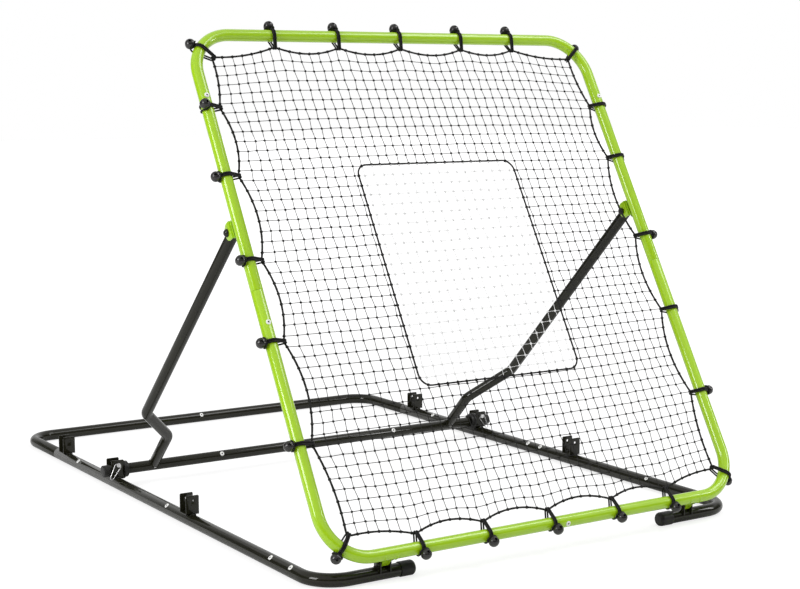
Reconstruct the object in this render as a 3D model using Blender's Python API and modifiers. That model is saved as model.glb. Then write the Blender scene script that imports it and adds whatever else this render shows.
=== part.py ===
"""Baseball rebound net: a net stretched in a leaning tube frame, on a folding stand.

Metres, +Z up. The net faces -Y, the stand runs back along +Y, and X = 0 is its middle.
The origin is on the ground, in the middle of the stand's outline.
"""

import math

import bmesh
import bpy
from mathutils import Vector

# Net frame: one rectangle of round tube, in an upper and a lower half
FRAME_WIDTH = 1.208
FRAME_HEIGHT = 1.34
FRAME_TUBE = 0.015
FRAME_BEND = 0.11
FRAME_SEAM = 0.652
FRAME_LEAN = math.radians(30.0)
RAIL_RISE = 0.036

# Base: two side rails that turn in at the front, and a rear tube
BASE_SPREAD = 0.0115
BASE_LENGTH = 1.821
BASE_TUBE = 0.016
BASE_BEND = 0.080
BASE_SEAM = 0.262
FRONT_RUN = 0.2465
RAIL_LEAD = 0.031
END_CAP_LENGTH = 0.040
END_CAP_WALL = 0.0012
END_CAP_ROUND = 0.0055
END_CAP_FLOOR = 0.008

# Front hinges, under the bottom rail
HINGE_INSET = 0.150
HINGE_BACK = 0.033
HINGE_DROP = 0.013
HINGE_LUG_WIDTH = 0.022
HINGE_LUG_END = 0.0065
HINGE_LUG_NECK = 0.0155
HINGE_LUG_ROOT = 0.046
BRACKET_WALL = 0.003
BRACKET_DEPTH = 0.0285
BRACKET_TOP = 0.010
HINGE_BOLT = 0.003
HINGE_BOLT_HEAD = 0.0055

# Prop: two bent struts that hang from lugs on the net frame and carry the crossbar
PIVOT_UP = 0.820
PIVOT_BACK = 0.0345
PIVOT_BOLT = 0.004
PIVOT_BOLT_HEAD = 0.0080
LUG_WALL = 0.0020
LUG_HEIGHT = 0.044
LUG_OVERHANG = 0.010
LUG_CORNER = 0.017
STRUT_TUBE = 0.0147
STRUT_TOP = 0.0065
STRUT_STRAIGHT = 0.741
STRUT_JOG = 0.125
STRUT_FOOT = 0.102
STRUT_BEND = 0.035
CROSSBAR_TUBE = 0.0147
CROSSBAR_PLACE = 1.160
COLLAR_WALL = 0.0115
COLLAR_LENGTH = 0.015
BAR_CAP_WALL = 0.0018
BAR_CAP_LENGTH = 0.019

# Cradles: U-channels on the side rails that take the crossbar, with a hole for a pin
FRONT_CRADLE = 0.687
REAR_CRADLE = 0.331
CRADLE_WIDTH = 0.036
CRADLE_EAR = 0.0165
CRADLE_WALL = 0.0025
CRADLE_CORNER = 0.0035
CRADLE_PLAY = 0.0015
PIN_RADIUS = 0.003
PIN_HEAD_RADIUS = 0.006
PIN_HEAD_LENGTH = 0.009
PIN_TAIL = 0.007
RING_WIRE = 0.0012
RING_WIDTH = 0.018
RING_TIP = 0.0050
RING_DROP = 0.044
RING_LEAN = math.radians(30.0)

# Net: a mesh tied to an edge cord, with a white strike zone bordered by a cord
NET_INSET = 0.033
NET_PITCH = 0.086
NET_STRAND = 0.0024
EDGE_CORD = 0.0025
EDGE_SAG = 0.10
CORNER_SAG = 0.05
CORNER_GRIP = 0.0070
ZONE_WIDTH = 0.480
ZONE_HEIGHT = 0.592
ZONE_UP = 0.674
ZONE_CORNER = 0.030
ZONE_CORD = 0.0025

# Elastic ties: a cord loop round the tube and the edge cord, with a ball outside the tube
TIE_CORD = 0.003
TIE_BALL = 0.0125
SIDE_TIES = {
    "top": (0.191, 0.345, 0.501, 0.661, 0.801),
    "right": (0.158, 0.278, 0.456, 0.619, 0.796),
    "bottom": (0.188, 0.333, 0.496, 0.652, 0.807),
    "left": (0.205, 0.391, 0.544, 0.709, 0.847),
}
CORNER_TURN = {"top_left": 37.0, "top_right": 41.0, "bottom_right": 37.0, "bottom_left": 47.0}
CORNER_BALL = {"top_left": 0.0, "top_right": -20.0, "bottom_right": -30.0, "bottom_left": 0.0}
BALL_TURN = {
    "top": (0.0, 0.0, 0.0, 0.0, 0.0),
    "right": (-52.0, -38.0, 0.0, -35.0, 0.0),
    "bottom": (42.0, 42.0, 42.0, 42.0, 42.0),
    "left": (10.0, 10.0, 20.0, 5.0, 55.0),
}

# Gaps: between still neighbours, round pins and bolts, and beside turning pieces
GAP = 0.0003
HOLE_PLAY = 0.0003
SIDE_PLAY = 0.0006

TUBE_SIDES = 16
WIRE_SIDES = 6
BEND_STEPS = 6
FRAME_BEND_STEPS = 10
TURNED_STEPS = 16
EDGE_STEPS = 4

GREEN = (0.33, 0.62, 0.02)
BLACK = (0.018, 0.018, 0.017)
CORD_BLACK = (0.012, 0.012, 0.012)
WHITE = (0.85, 0.85, 0.85)
ZINC = (0.62, 0.62, 0.62)

HALF_FRAME = FRAME_WIDTH / 2
HALF_BASE = HALF_FRAME + BASE_SPREAD
HINGE_OFFSET = HALF_FRAME - HINGE_INSET
FRONT_RUN_END = HALF_BASE - FRONT_RUN
RAIL_HEIGHT = 2 * BASE_TUBE + RAIL_RISE
COLLAR_RADIUS = CROSSBAR_TUBE + COLLAR_WALL
BAR_CAP_RADIUS = CROSSBAR_TUBE + BAR_CAP_WALL
CRADLE_HEIGHT = CRADLE_WALL + GAP + 2 * CROSSBAR_TUBE + CRADLE_EAR
BALL_REACH = FRAME_TUBE + GAP + TIE_BALL
FRONT_REACH = BALL_REACH + TIE_BALL
OUTLINE_LENGTH = FRONT_REACH + RAIL_LEAD + BASE_LENGTH + BASE_TUBE
RAIL_Y = FRONT_REACH - OUTLINE_LENGTH / 2
FRONT_Y = RAIL_Y + RAIL_LEAD
REAR_Y = FRONT_Y + BASE_LENGTH
BASE_TOP = 2 * BASE_TUBE
CRADLE_FLOOR = BASE_TOP + GAP + CRADLE_WALL
CROSSBAR_Y = RAIL_Y + CROSSBAR_PLACE
CROSSBAR_Z = CRADLE_FLOOR + GAP + CROSSBAR_TUBE
PIN_Z = CROSSBAR_Z + CROSSBAR_TUBE + PIN_RADIUS + GAP
CRADLE_HALF_SLOT = CROSSBAR_TUBE + CRADLE_PLAY
CRADLE_HALF_DEPTH = CRADLE_HALF_SLOT + CRADLE_WALL
CRADLE_PLACES = {
    "front": RAIL_Y + FRONT_CRADLE,
    "middle": CROSSBAR_Y,
    "rear": REAR_Y - REAR_CRADLE,
}

UP_FRAME = Vector((0.0, math.sin(FRAME_LEAN), math.cos(FRAME_LEAN)))
BACK_FRAME = Vector((0.0, math.cos(FRAME_LEAN), -math.sin(FRAME_LEAN)))
RAIL = Vector((0.0, RAIL_Y, RAIL_HEIGHT))
HINGE = RAIL + BACK_FRAME * HINGE_BACK - UP_FRAME * HINGE_DROP
PIVOT = RAIL + BACK_FRAME * PIVOT_BACK + UP_FRAME * PIVOT_UP
CROSSBAR = Vector((0.0, CROSSBAR_Y, CROSSBAR_Z))
STRUT_LENGTH = (CROSSBAR - PIVOT).length


def collection(name, hidden=False):
    made = bpy.data.collections.new(name)
    bpy.context.scene.collection.children.link(made)
    made.hide_render = hidden
    return made


def finish(name, colour, roughness, metallic):
    material = bpy.data.materials.new(name)
    material.use_nodes = True
    shader = material.node_tree.nodes["Principled BSDF"]
    shader.inputs["Base Color"].default_value = (*colour, 1.0)
    shader.inputs["Roughness"].default_value = roughness
    shader.inputs["Metallic"].default_value = metallic
    return material


def empty(name, location, turn_x, parent=None):
    made = bpy.data.objects.new(name, None)
    parts.objects.link(made)
    made.parent = parent
    made.location = location
    made.rotation_euler = (turn_x, 0.0, 0.0)
    return made


def add(name, data, look, parent=None, location=(0, 0, 0), turn=(0, 0, 0)):
    """One named piece in the object's collection."""
    made = bpy.data.objects.new(name, data)
    parts.objects.link(made)
    made.parent = parent
    made.location = location
    made.rotation_euler = turn
    data.materials.append(materials[look])
    return made


def cutter(name, data, parent=None, location=(0, 0, 0), turn=(0, 0, 0)):
    made = bpy.data.objects.new(name, data)
    cutters.objects.link(made)
    made.parent = parent
    made.location = location
    made.rotation_euler = turn
    made.hide_render = True
    made.display_type = "WIRE"
    return made


def boolean(target, tool, operation):
    modifier = target.modifiers.new(operation.lower(), "BOOLEAN")
    modifier.operation = operation
    modifier.object = tool
    modifier.solver = "EXACT"
    return modifier


def smooth(mesh):
    mesh.shade_smooth()
    mesh.set_sharp_from_angle(angle=math.radians(40))


def tube_curve(name, points, radius, sides=TUBE_SIDES, closed=False):
    curve = bpy.data.curves.new(name, "CURVE")
    curve.dimensions = "3D"
    curve.bevel_depth = radius
    curve.bevel_resolution = sides // 2 - 2
    curve.use_fill_caps = not closed
    spline = curve.splines.new("POLY")
    spline.points.add(len(points) - 1)
    for target, point in zip(spline.points, points):
        target.co = (*point, 1.0)
    spline.use_cyclic_u = closed
    spline.use_smooth = True
    return curve


def plate_curve(name, outlines, thickness):
    """A flat plate in the XY plane of its object. Outlines after the first are its holes."""
    curve = bpy.data.curves.new(name, "CURVE")
    curve.dimensions = "2D"
    curve.fill_mode = "BOTH"
    curve.extrude = thickness / 2
    for outline in outlines:
        spline = curve.splines.new("POLY")
        spline.points.add(len(outline) - 1)
        for target, point in zip(spline.points, outline):
            target.co = (point[0], point[1], 0.0, 1.0)
        spline.use_cyclic_u = True
    return curve


def as_mesh(made):
    """Turns a curve piece into a welded mesh, so that it can be cut or joined."""
    graph = bpy.context.evaluated_depsgraph_get()
    mesh = bpy.data.meshes.new_from_object(made.evaluated_get(graph))
    work = bmesh.new()
    work.from_mesh(mesh)
    bmesh.ops.remove_doubles(work, verts=work.verts, dist=0.00001)
    bmesh.ops.recalc_face_normals(work, faces=work.faces)
    if work.calc_volume(signed=True) < 0:
        bmesh.ops.reverse_faces(work, faces=work.faces)
    work.to_mesh(mesh)
    work.free()
    name = made.name
    home = made.users_collection[0]
    placed = made.matrix_world.copy()
    parent = made.parent
    bpy.data.objects.remove(made)
    solid = bpy.data.objects.new(name, mesh)
    home.objects.link(solid)
    solid.parent = parent
    if parent:
        solid.matrix_parent_inverse = parent.matrix_world.inverted()
    solid.matrix_world = placed
    if home == cutters:
        solid.hide_render = True
        solid.display_type = "WIRE"
    bpy.context.view_layer.update()
    return solid


def box_mesh(name, low, high):
    work = bmesh.new()
    bmesh.ops.create_cube(work, size=1.0)
    size = Vector(high) - Vector(low)
    bmesh.ops.scale(work, vec=size, verts=work.verts)
    bmesh.ops.translate(work, vec=(Vector(low) + Vector(high)) / 2, verts=work.verts)
    mesh = bpy.data.meshes.new(name)
    work.to_mesh(mesh)
    work.free()
    return mesh


def rod_mesh(name, radius, length, sides=TURNED_STEPS):
    """A cylinder along Z, centred on the origin."""
    work = bmesh.new()
    bmesh.ops.create_cone(
        work, cap_ends=True, segments=sides, radius1=radius, radius2=radius, depth=length
    )
    mesh = bpy.data.meshes.new(name)
    work.to_mesh(mesh)
    work.free()
    smooth(mesh)
    return mesh


def turned(name, profile, look, parent=None, location=(0, 0, 0), turn=(0, 0, 0), ring=False):
    """A turned piece about its own Z: the profile's (radius, height) points run down the outside."""
    mesh = bpy.data.meshes.new(name)
    points = [(radius, 0.0, height) for radius, height in profile]
    edges = [(i, i + 1) for i in range(len(points) - 1)]
    if ring:
        edges.append((len(points) - 1, 0))
    mesh.from_pydata(points, edges, [])
    made = add(name, mesh, look, parent, location, turn)
    screw = made.modifiers.new("turned", "SCREW")
    screw.steps = TURNED_STEPS
    screw.render_steps = TURNED_STEPS
    screw.use_merge_vertices = True
    screw.merge_threshold = 0.00001
    screw.use_smooth_shade = True
    return made


def bent_path(corners, radius, steps=BEND_STEPS):
    """Straight runs joined by arcs of one radius."""
    path = [Vector(corners[0])]
    for before, corner, after in zip(corners, corners[1:], corners[2:]):
        corner = Vector(corner)
        into = (corner - Vector(before)).normalized()
        out = (Vector(after) - corner).normalized()
        bend = into.angle(out)
        reach = radius * math.tan(bend / 2)
        centre = corner - into * reach + (out - into * into.dot(out)).normalized() * radius
        start = corner - into * reach - centre
        for step in range(steps + 1):
            turn = bend * step / steps
            path.append(centre + start * math.cos(turn) + into * radius * math.sin(turn))
    path.append(Vector(corners[-1]))
    return path


def bore(radius):
    """The radius of a turned bore whose flats clear a shaft of this radius."""
    return (radius + GAP) / math.cos(math.pi / TURNED_STEPS)


def rounded_outline(half_width, half_height, radius, steps=4):
    """A rounded rectangle about the origin, counter-clockwise."""
    outline = []
    for quarter, (side_x, side_y) in enumerate(((1, 1), (-1, 1), (-1, -1), (1, -1))):
        centre_x = side_x * (half_width - radius)
        centre_y = side_y * (half_height - radius)
        for step in range(steps + 1):
            angle = math.radians(90) * (quarter + step / steps)
            outline.append((centre_x + radius * math.cos(angle), centre_y + radius * math.sin(angle)))
    return outline


def in_frame(x, up, back=0.0):
    """A place on the net frame, from the middle of its bottom rail, seen from the front hinge."""
    return Vector((x, back - HINGE_BACK, up + HINGE_DROP))


def base():
    seam_y = REAR_Y - BASE_SEAM
    rear = [(-HALF_BASE, seam_y, BASE_TUBE), (-HALF_BASE, REAR_Y, BASE_TUBE)]
    rear += [(HALF_BASE, REAR_Y, BASE_TUBE), (HALF_BASE, seam_y, BASE_TUBE)]
    add("base_rear_tube", tube_curve("base_rear_tube", bent_path(rear, BASE_BEND), BASE_TUBE), "black")
    for side, name in ((-1, "left"), (1, "right")):
        run = [(side * HALF_BASE, seam_y - GAP, BASE_TUBE), (side * HALF_BASE, FRONT_Y, BASE_TUBE)]
        run.append((side * (FRONT_RUN_END + END_CAP_FLOOR + GAP), FRONT_Y, BASE_TUBE))
        rail = f"base_{name}_rail"
        add(rail, tube_curve(rail, bent_path(run, BASE_BEND), BASE_TUBE), "black")
        end_cap(side, name)
        for place, along in CRADLE_PLACES.items():
            cradle(side, f"cradle_{place}_{name}", along)


def end_cap(side, name):
    """A cup over the open end of the front run, cut flat where it stands on the ground."""
    inner = bore(BASE_TUBE)
    outer = inner + END_CAP_WALL
    profile = [(0.0, 0.0)]
    for step in range(4):
        turn = math.radians(30 * step)
        profile.append((outer - END_CAP_ROUND * (1 - math.sin(turn)), -END_CAP_ROUND * (1 - math.cos(turn))))
    profile += [(outer, -END_CAP_LENGTH), (inner, -END_CAP_LENGTH), (inner, -END_CAP_FLOOR)]
    profile.append((0.0, -END_CAP_FLOOR))
    where = (side * FRONT_RUN_END, FRONT_Y, BASE_TUBE)
    cap = turned(
        f"base_{name}_end_cap", profile, "plastic", None, where, (0, -side * math.radians(90), 0)
    )
    ground = box_mesh(f"ground_{name}", (-0.06, -0.03, -0.03), (0.06, 0.03, 0.0))
    tool = cutter(f"ground_{name}", ground, None, (side * (FRONT_RUN_END + END_CAP_LENGTH / 2), FRONT_Y, 0))
    boolean(cap, tool, "DIFFERENCE")


def cradle(side, name, place):
    """A U-channel, open at the top, with rounded ears and one hole for the pin."""
    outline = [(-CRADLE_HALF_DEPTH, 0.0), (CRADLE_HALF_DEPTH, 0.0), (CRADLE_HALF_DEPTH, CRADLE_HEIGHT)]
    outline += [(CRADLE_HALF_SLOT, CRADLE_HEIGHT), (CRADLE_HALF_SLOT, CRADLE_WALL)]
    outline += [(-CRADLE_HALF_SLOT, CRADLE_WALL), (-CRADLE_HALF_SLOT, CRADLE_HEIGHT)]
    outline.append((-CRADLE_HALF_DEPTH, CRADLE_HEIGHT))
    work = bmesh.new()
    verts = [work.verts.new((-CRADLE_WIDTH / 2, y, z)) for y, z in outline]
    face = work.faces.new(verts)
    grown = bmesh.ops.extrude_face_region(work, geom=[face])
    moved = [item for item in grown["geom"] if isinstance(item, bmesh.types.BMVert)]
    bmesh.ops.translate(work, vec=(CRADLE_WIDTH, 0, 0), verts=moved)
    bmesh.ops.recalc_face_normals(work, faces=work.faces)
    tops = []
    for edge in work.edges:
        ends = [vert.co for vert in edge.verts]
        high = all(abs(end.z - CRADLE_HEIGHT) < GAP for end in ends)
        if high and abs(ends[0].x - ends[1].x) < GAP:
            tops.append(edge)
    bmesh.ops.bevel(
        work, geom=tops, offset=CRADLE_CORNER, offset_type="OFFSET", segments=3, profile=0.5, affect="EDGES"
    )
    mesh = bpy.data.meshes.new(name)
    work.to_mesh(mesh)
    work.free()
    made = add(name, mesh, "black", None, (side * HALF_BASE, place, BASE_TOP + GAP))
    hole = rod_mesh(f"{name}_hole", PIN_RADIUS + HOLE_PLAY, 4 * CRADLE_HALF_DEPTH)
    where = (side * HALF_BASE, place, PIN_Z)
    boolean(made, cutter(f"{name}_hole", hole, None, where, (math.radians(90), 0, 0)), "DIFFERENCE")


def front_hinge(side, name):
    """A black bracket on the base with a bolt through it. The green lug turns on the bolt."""
    x = side * HINGE_OFFSET
    half = HINGE_LUG_WIDTH / 2 + SIDE_PLAY
    outer = half + BRACKET_WALL
    front = -BRACKET_TOP
    rear = BRACKET_DEPTH + front
    low = BASE_TUBE + 0.004 - HINGE.z
    outline = [(-outer, front), (-half, front), (-half, rear - BRACKET_WALL), (half, rear - BRACKET_WALL)]
    outline += [(half, front), (outer, front), (outer, rear), (-outer, rear)]
    made = add(f"hinge_bracket_{name}", plate_curve(f"hinge_bracket_{name}", [outline], BRACKET_TOP - low),
               "black", None, (x, HINGE.y, HINGE.z + (BRACKET_TOP + low) / 2))
    bpy.context.view_layer.update()
    bracket = as_mesh(made)
    seat = rod_mesh(f"{name}_seat", BASE_TUBE + GAP, 4 * outer, 2 * TUBE_SIDES)
    tool = cutter(f"{name}_seat", seat, None, (x, FRONT_Y, BASE_TUBE), (0, math.radians(90), 0))
    boolean(bracket, tool, "DIFFERENCE")
    bolt_hole(bracket, f"{name}_bracket_hole", HINGE_BOLT, 4 * outer, (x, HINGE.y, HINGE.z), None)
    bolt(f"hinge_bolt_{name}", HINGE_BOLT, HINGE_BOLT_HEAD, outer, (x, HINGE.y, HINGE.z), None)


def bolt_hole(target, name, radius, length, location, parent):
    hole = rod_mesh(name, radius + HOLE_PLAY, length)
    tool = cutter(name, hole, parent, location, (0, math.radians(90), 0))
    boolean(target, tool, "DIFFERENCE")


def bolt(name, radius, head, half_grip, location, parent):
    """A bolt across X with its head and its nut outside the grip."""
    top = half_grip + GAP
    tall = head * 0.8
    profile = [(0.0, top + tall), (head, top + tall), (head, top), (radius, top), (radius, -top)]
    profile += [(head * 0.95, -top), (head * 0.95, -top - tall), (0.0, -top - tall)]
    turned(name, profile, "black", parent, location, (0, math.radians(90), 0))


def net_frame(hinge):
    seam = FRAME_SEAM
    upper = [in_frame(-HALF_FRAME, seam + GAP), in_frame(-HALF_FRAME, FRAME_HEIGHT)]
    upper += [in_frame(HALF_FRAME, FRAME_HEIGHT), in_frame(HALF_FRAME, seam + GAP)]
    lower = [in_frame(-HALF_FRAME, seam), in_frame(-HALF_FRAME, 0)]
    lower += [in_frame(HALF_FRAME, 0), in_frame(HALF_FRAME, seam)]
    path = bent_path(upper, FRAME_BEND, FRAME_BEND_STEPS)
    add("frame_upper_tube", tube_curve("frame_upper_tube", path, FRAME_TUBE), "green", hinge)
    path = bent_path(lower, FRAME_BEND, FRAME_BEND_STEPS)
    made = add("frame_lower_tube", tube_curve("frame_lower_tube", path, FRAME_TUBE), "green", hinge)
    bpy.context.view_layer.update()
    lower_tube = as_mesh(made)
    lower_tube.data.materials[0] = materials["green"]
    for side, name in ((-1, "left"), (1, "right")):
        lug = hinge_lug(side, name, hinge)
        boolean(lower_tube, lug, "UNION")
        bolt_hole(lower_tube, f"{name}_lug_hole", HINGE_BOLT, 2 * HINGE_LUG_WIDTH,
                  (side * HINGE_OFFSET, 0, 0), hinge)
        pivot_lug(side, name, hinge)


def hinge_lug(side, name, hinge):
    """The lug under the bottom rail: round about the hinge bolt, and wider from its neck to the rail."""
    towards = Vector((0, -HINGE_BACK, HINGE_DROP))
    reach = towards.length
    heading = math.atan2(towards.z, towards.y)
    along = towards / reach
    across = Vector((0, -along.z, along.y))
    rim = []
    for step in range(9):
        angle = heading + math.radians(90 + 180 * step / 8)
        rim.append(Vector((0, HINGE_LUG_END * math.cos(angle), HINGE_LUG_END * math.sin(angle))))
    grip = FRAME_TUBE / 2
    rim += [along * HINGE_LUG_NECK - across * HINGE_LUG_END * 1.2, along * (reach - grip) - across * grip * 1.4]
    rim += [along * (reach - grip) + across * grip * 1.4, along * HINGE_LUG_NECK + across * HINGE_LUG_END * 1.2]
    work = bmesh.new()
    faces = []
    for sign in (-1, 1):
        verts = []
        for index, point in enumerate(rim):
            half = (HINGE_LUG_ROOT if index in (10, 11) else HINGE_LUG_WIDTH) / 2
            verts.append(work.verts.new((sign * half, point.y, point.z)))
        work.faces.new(verts[:10] + verts[12:])
        work.faces.new(verts[9:])
        faces.append(verts)
    for near, after in zip(range(13), [*range(1, 13), 0]):
        work.faces.new((faces[0][near], faces[0][after], faces[1][after], faces[1][near]))
    bmesh.ops.recalc_face_normals(work, faces=work.faces)
    mesh = bpy.data.meshes.new(f"hinge_lug_{name}")
    work.to_mesh(mesh)
    work.free()
    return cutter(f"hinge_lug_{name}", mesh, hinge, (side * HINGE_OFFSET, 0, 0))


def pivot_lug(side, name, hinge):
    """A green U-bracket behind the side tube, with round corners: the strut turns between its plates."""
    half = STRUT_TUBE + SIDE_PLAY
    outer = half + LUG_WALL
    web = FRAME_TUBE + GAP
    deep = PIVOT_BACK + LUG_OVERHANG
    outline = [(-outer, web), (outer, web), (outer, deep), (half, deep), (half, web + LUG_WALL)]
    outline += [(-half, web + LUG_WALL), (-half, deep), (-outer, deep)]
    work = bmesh.new()
    verts = [work.verts.new((x, y, -LUG_HEIGHT / 2)) for x, y in outline]
    face = work.faces.new(verts)
    grown = bmesh.ops.extrude_face_region(work, geom=[face])
    moved = [item for item in grown["geom"] if isinstance(item, bmesh.types.BMVert)]
    bmesh.ops.translate(work, vec=(0, 0, LUG_HEIGHT), verts=moved)
    bmesh.ops.recalc_face_normals(work, faces=work.faces)
    tips = []
    for edge in work.edges:
        ends = [vert.co for vert in edge.verts]
        if all(abs(end.y - deep) < GAP for end in ends) and abs(ends[0].z - ends[1].z) < GAP:
            tips.append(edge)
    bmesh.ops.bevel(
        work, geom=tips, offset=LUG_CORNER, offset_type="OFFSET", segments=3, profile=0.5, affect="EDGES"
    )
    mesh = bpy.data.meshes.new(f"pivot_lug_{name}")
    work.to_mesh(mesh)
    work.free()
    x = side * HALF_FRAME
    lug = add(f"pivot_lug_{name}", mesh, "green", hinge, in_frame(x, PIVOT_UP))
    bolt_hole(lug, f"{name}_pivot_hole", PIVOT_BOLT, 4 * outer, in_frame(x, PIVOT_UP, PIVOT_BACK), hinge)
    bolt(f"pivot_bolt_{name}", PIVOT_BOLT, PIVOT_BOLT_HEAD, outer, in_frame(x, PIVOT_UP, PIVOT_BACK), hinge)


def prop(pivot):
    """Struts, crossbar, collars and end caps, in the prop's own frame: down its length is -Z."""
    foot_x = HALF_FRAME - STRUT_FOOT
    bar = add("crossbar", tube_curve("crossbar", crossbar_ends(), CROSSBAR_TUBE), "black", pivot)
    bar.location = (0, 0, -STRUT_LENGTH)
    for side, name in ((-1, "left"), (1, "right")):
        route = [(side * HALF_FRAME, 0, STRUT_TOP), (side * HALF_FRAME, 0, -STRUT_STRAIGHT)]
        route += [(side * foot_x, 0, -STRUT_STRAIGHT - STRUT_JOG), (side * foot_x, 0, -STRUT_LENGTH)]
        path = bent_path(route, STRUT_BEND, 4)
        made = add(f"strut_{name}", tube_curve(f"strut_{name}", path, STRUT_TUBE), "black", pivot)
        bpy.context.view_layer.update()
        strut = as_mesh(made)
        side_x = side * HALF_FRAME
        bolt_hole(strut, f"{name}_strut_hole", PIVOT_BOLT, 4 * STRUT_TUBE, (side_x, 0, 0), pivot)
        cope = rod_mesh(f"{name}_cope", CROSSBAR_TUBE + GAP, 6 * STRUT_TUBE, 2 * TUBE_SIDES)
        foot = (side * foot_x, 0, -STRUT_LENGTH)
        tool = cutter(f"{name}_cope", cope, pivot, foot, (0, math.radians(90), 0))
        boolean(strut, tool, "DIFFERENCE")
        crossbar_fittings(side, name, pivot)


def crossbar_ends():
    reach = HALF_BASE + CRADLE_WIDTH / 2 + SIDE_PLAY + BAR_CAP_LENGTH - CRADLE_WALL - GAP
    return [(-reach, 0, 0), (reach, 0, 0)]


def crossbar_fittings(side, name, pivot):
    """A collar inside the cradle and a cap outside it keep the bar from sliding along."""
    inner = bore(CROSSBAR_TUBE)
    quarter = side * math.radians(90)
    collar_x = side * (HALF_BASE - CRADLE_WIDTH / 2 - SIDE_PLAY)
    ease = 0.0015
    profile = [(COLLAR_RADIUS - ease, 0.0), (COLLAR_RADIUS, -ease), (COLLAR_RADIUS, ease - COLLAR_LENGTH)]
    profile += [(COLLAR_RADIUS - ease, -COLLAR_LENGTH), (inner, -COLLAR_LENGTH), (inner, 0.0)]
    turned(f"crossbar_collar_{name}", profile, "plastic", pivot, (collar_x, 0, -STRUT_LENGTH),
           (0, quarter, 0), ring=True)
    cap_x = side * (HALF_BASE + CRADLE_WIDTH / 2 + SIDE_PLAY + BAR_CAP_LENGTH)
    profile = [(0.0, 0.0), (BAR_CAP_RADIUS - 2 * ease, 0.0), (BAR_CAP_RADIUS, -2 * ease)]
    profile += [(BAR_CAP_RADIUS, -BAR_CAP_LENGTH), (inner, -BAR_CAP_LENGTH), (inner, -CRADLE_WALL)]
    profile.append((0.0, -CRADLE_WALL))
    turned(f"crossbar_cap_{name}", profile, "plastic", pivot, (cap_x, 0, -STRUT_LENGTH), (0, quarter, 0))


def lock_pin(side, name):
    """A headed pin through both ears of the middle cradle, over the bar, with a wire ring in its head."""
    x = side * HALF_BASE
    head = -CRADLE_HALF_DEPTH - GAP
    tail = CRADLE_HALF_DEPTH + PIN_TAIL
    tip = PIN_RADIUS * 0.5
    profile = [(0.0, tail), (PIN_RADIUS - tip, tail), (PIN_RADIUS, tail - tip), (PIN_RADIUS, head)]
    profile += [(PIN_HEAD_RADIUS, head), (PIN_HEAD_RADIUS, head - PIN_HEAD_LENGTH)]
    profile.append((0.0, head - PIN_HEAD_LENGTH))
    where = (x, CROSSBAR_Y, PIN_Z)
    pin = turned(f"lock_pin_{name}", profile, "zinc", None, where, (math.radians(-90), 0, 0))
    ring_y = CROSSBAR_Y + head - PIN_HEAD_LENGTH / 2
    ring_at = (x, ring_y, PIN_Z)
    lean = -side * RING_LEAN
    hole = rod_mesh(f"{name}_ring_hole", RING_WIRE + HOLE_PLAY, 4 * PIN_HEAD_RADIUS, 8)
    tool = cutter(f"{name}_ring_hole", hole, None, ring_at, (0, math.radians(90) + lean, 0))
    boolean(pin, tool, "DIFFERENCE")
    half = RING_WIDTH / 2
    corner = half * 0.3
    points = [(-half + corner, 0, 0), (half - corner, 0, 0), (half, 0, -corner)]
    low = RING_DROP - RING_TIP
    for step in range(9):
        angle = math.radians(180 * step / 8)
        points.append((RING_TIP * math.cos(angle), 0, -low - RING_TIP * math.sin(angle)))
    points.append((-half, 0, -corner))
    ring = tube_curve(f"pin_ring_{name}", points, RING_WIRE, WIRE_SIDES, closed=True)
    add(f"pin_ring_{name}", ring, "zinc", None, ring_at, (0, lean, 0))


def tie_places():
    """Every tie, going round the net: its name, place on the tube, outward direction, ball and grip."""
    places = []
    inside = FRAME_BEND
    corners = {
        "top_left": (-1, 1, FRAME_HEIGHT - inside),
        "top_right": (1, 1, FRAME_HEIGHT - inside),
        "bottom_right": (1, -1, inside),
        "bottom_left": (-1, -1, inside),
    }
    order = (
        ("top_left", "top"), ("top_right", "right"), ("bottom_right", "bottom"), ("bottom_left", "left")
    )
    for corner, side in order:
        sign_x, sign_up, centre_up = corners[corner]
        turn = math.radians(CORNER_TURN[corner])
        outward = Vector((sign_x * math.cos(turn), sign_up * math.sin(turn)))
        centre = Vector((sign_x * (HALF_FRAME - inside), centre_up))
        at = centre + outward * FRAME_BEND
        places.append((f"tie_{corner}", at, outward, CORNER_BALL[corner], CORNER_GRIP))
        for number, share in enumerate(SIDE_TIES[side], 1):
            if side in ("top", "bottom"):
                sign = 1 if side == "top" else -1
                at = Vector((sign * FRAME_WIDTH * (share - 0.5), FRAME_HEIGHT if sign == 1 else 0.0))
                outward = Vector((0, sign))
            else:
                sign = 1 if side == "right" else -1
                at = Vector((sign * HALF_FRAME, FRAME_HEIGHT * (0.5 - sign * (share - 0.5))))
                outward = Vector((sign, 0))
            turn = BALL_TURN[side][number - 1]
            places.append((f"tie_{side}_{number}", at, outward, turn, EDGE_CORD))
    return places


def edge_points(places):
    """The edge cord's route: pulled out at each tie, and drawn in between ties."""
    knots = [at - outward * NET_INSET for _, at, outward, _, _ in places]
    corners = [grip == CORNER_GRIP for _, _, _, _, grip in places]
    middle = Vector((0, FRAME_HEIGHT / 2))
    route = []
    for index, start in enumerate(knots):
        after = (index + 1) % len(knots)
        span = knots[after] - start
        depth = CORNER_SAG if corners[index] or corners[after] else EDGE_SAG
        inward = Vector((-span.y, span.x)).normalized()
        if inward.dot(middle - start) < 0:
            inward = -inward
        for step in range(EDGE_STEPS):
            share = step / EDGE_STEPS
            sag = depth * span.length * 4 * share * (1 - share)
            route.append(start + span * share + inward * sag)
    return route


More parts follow.
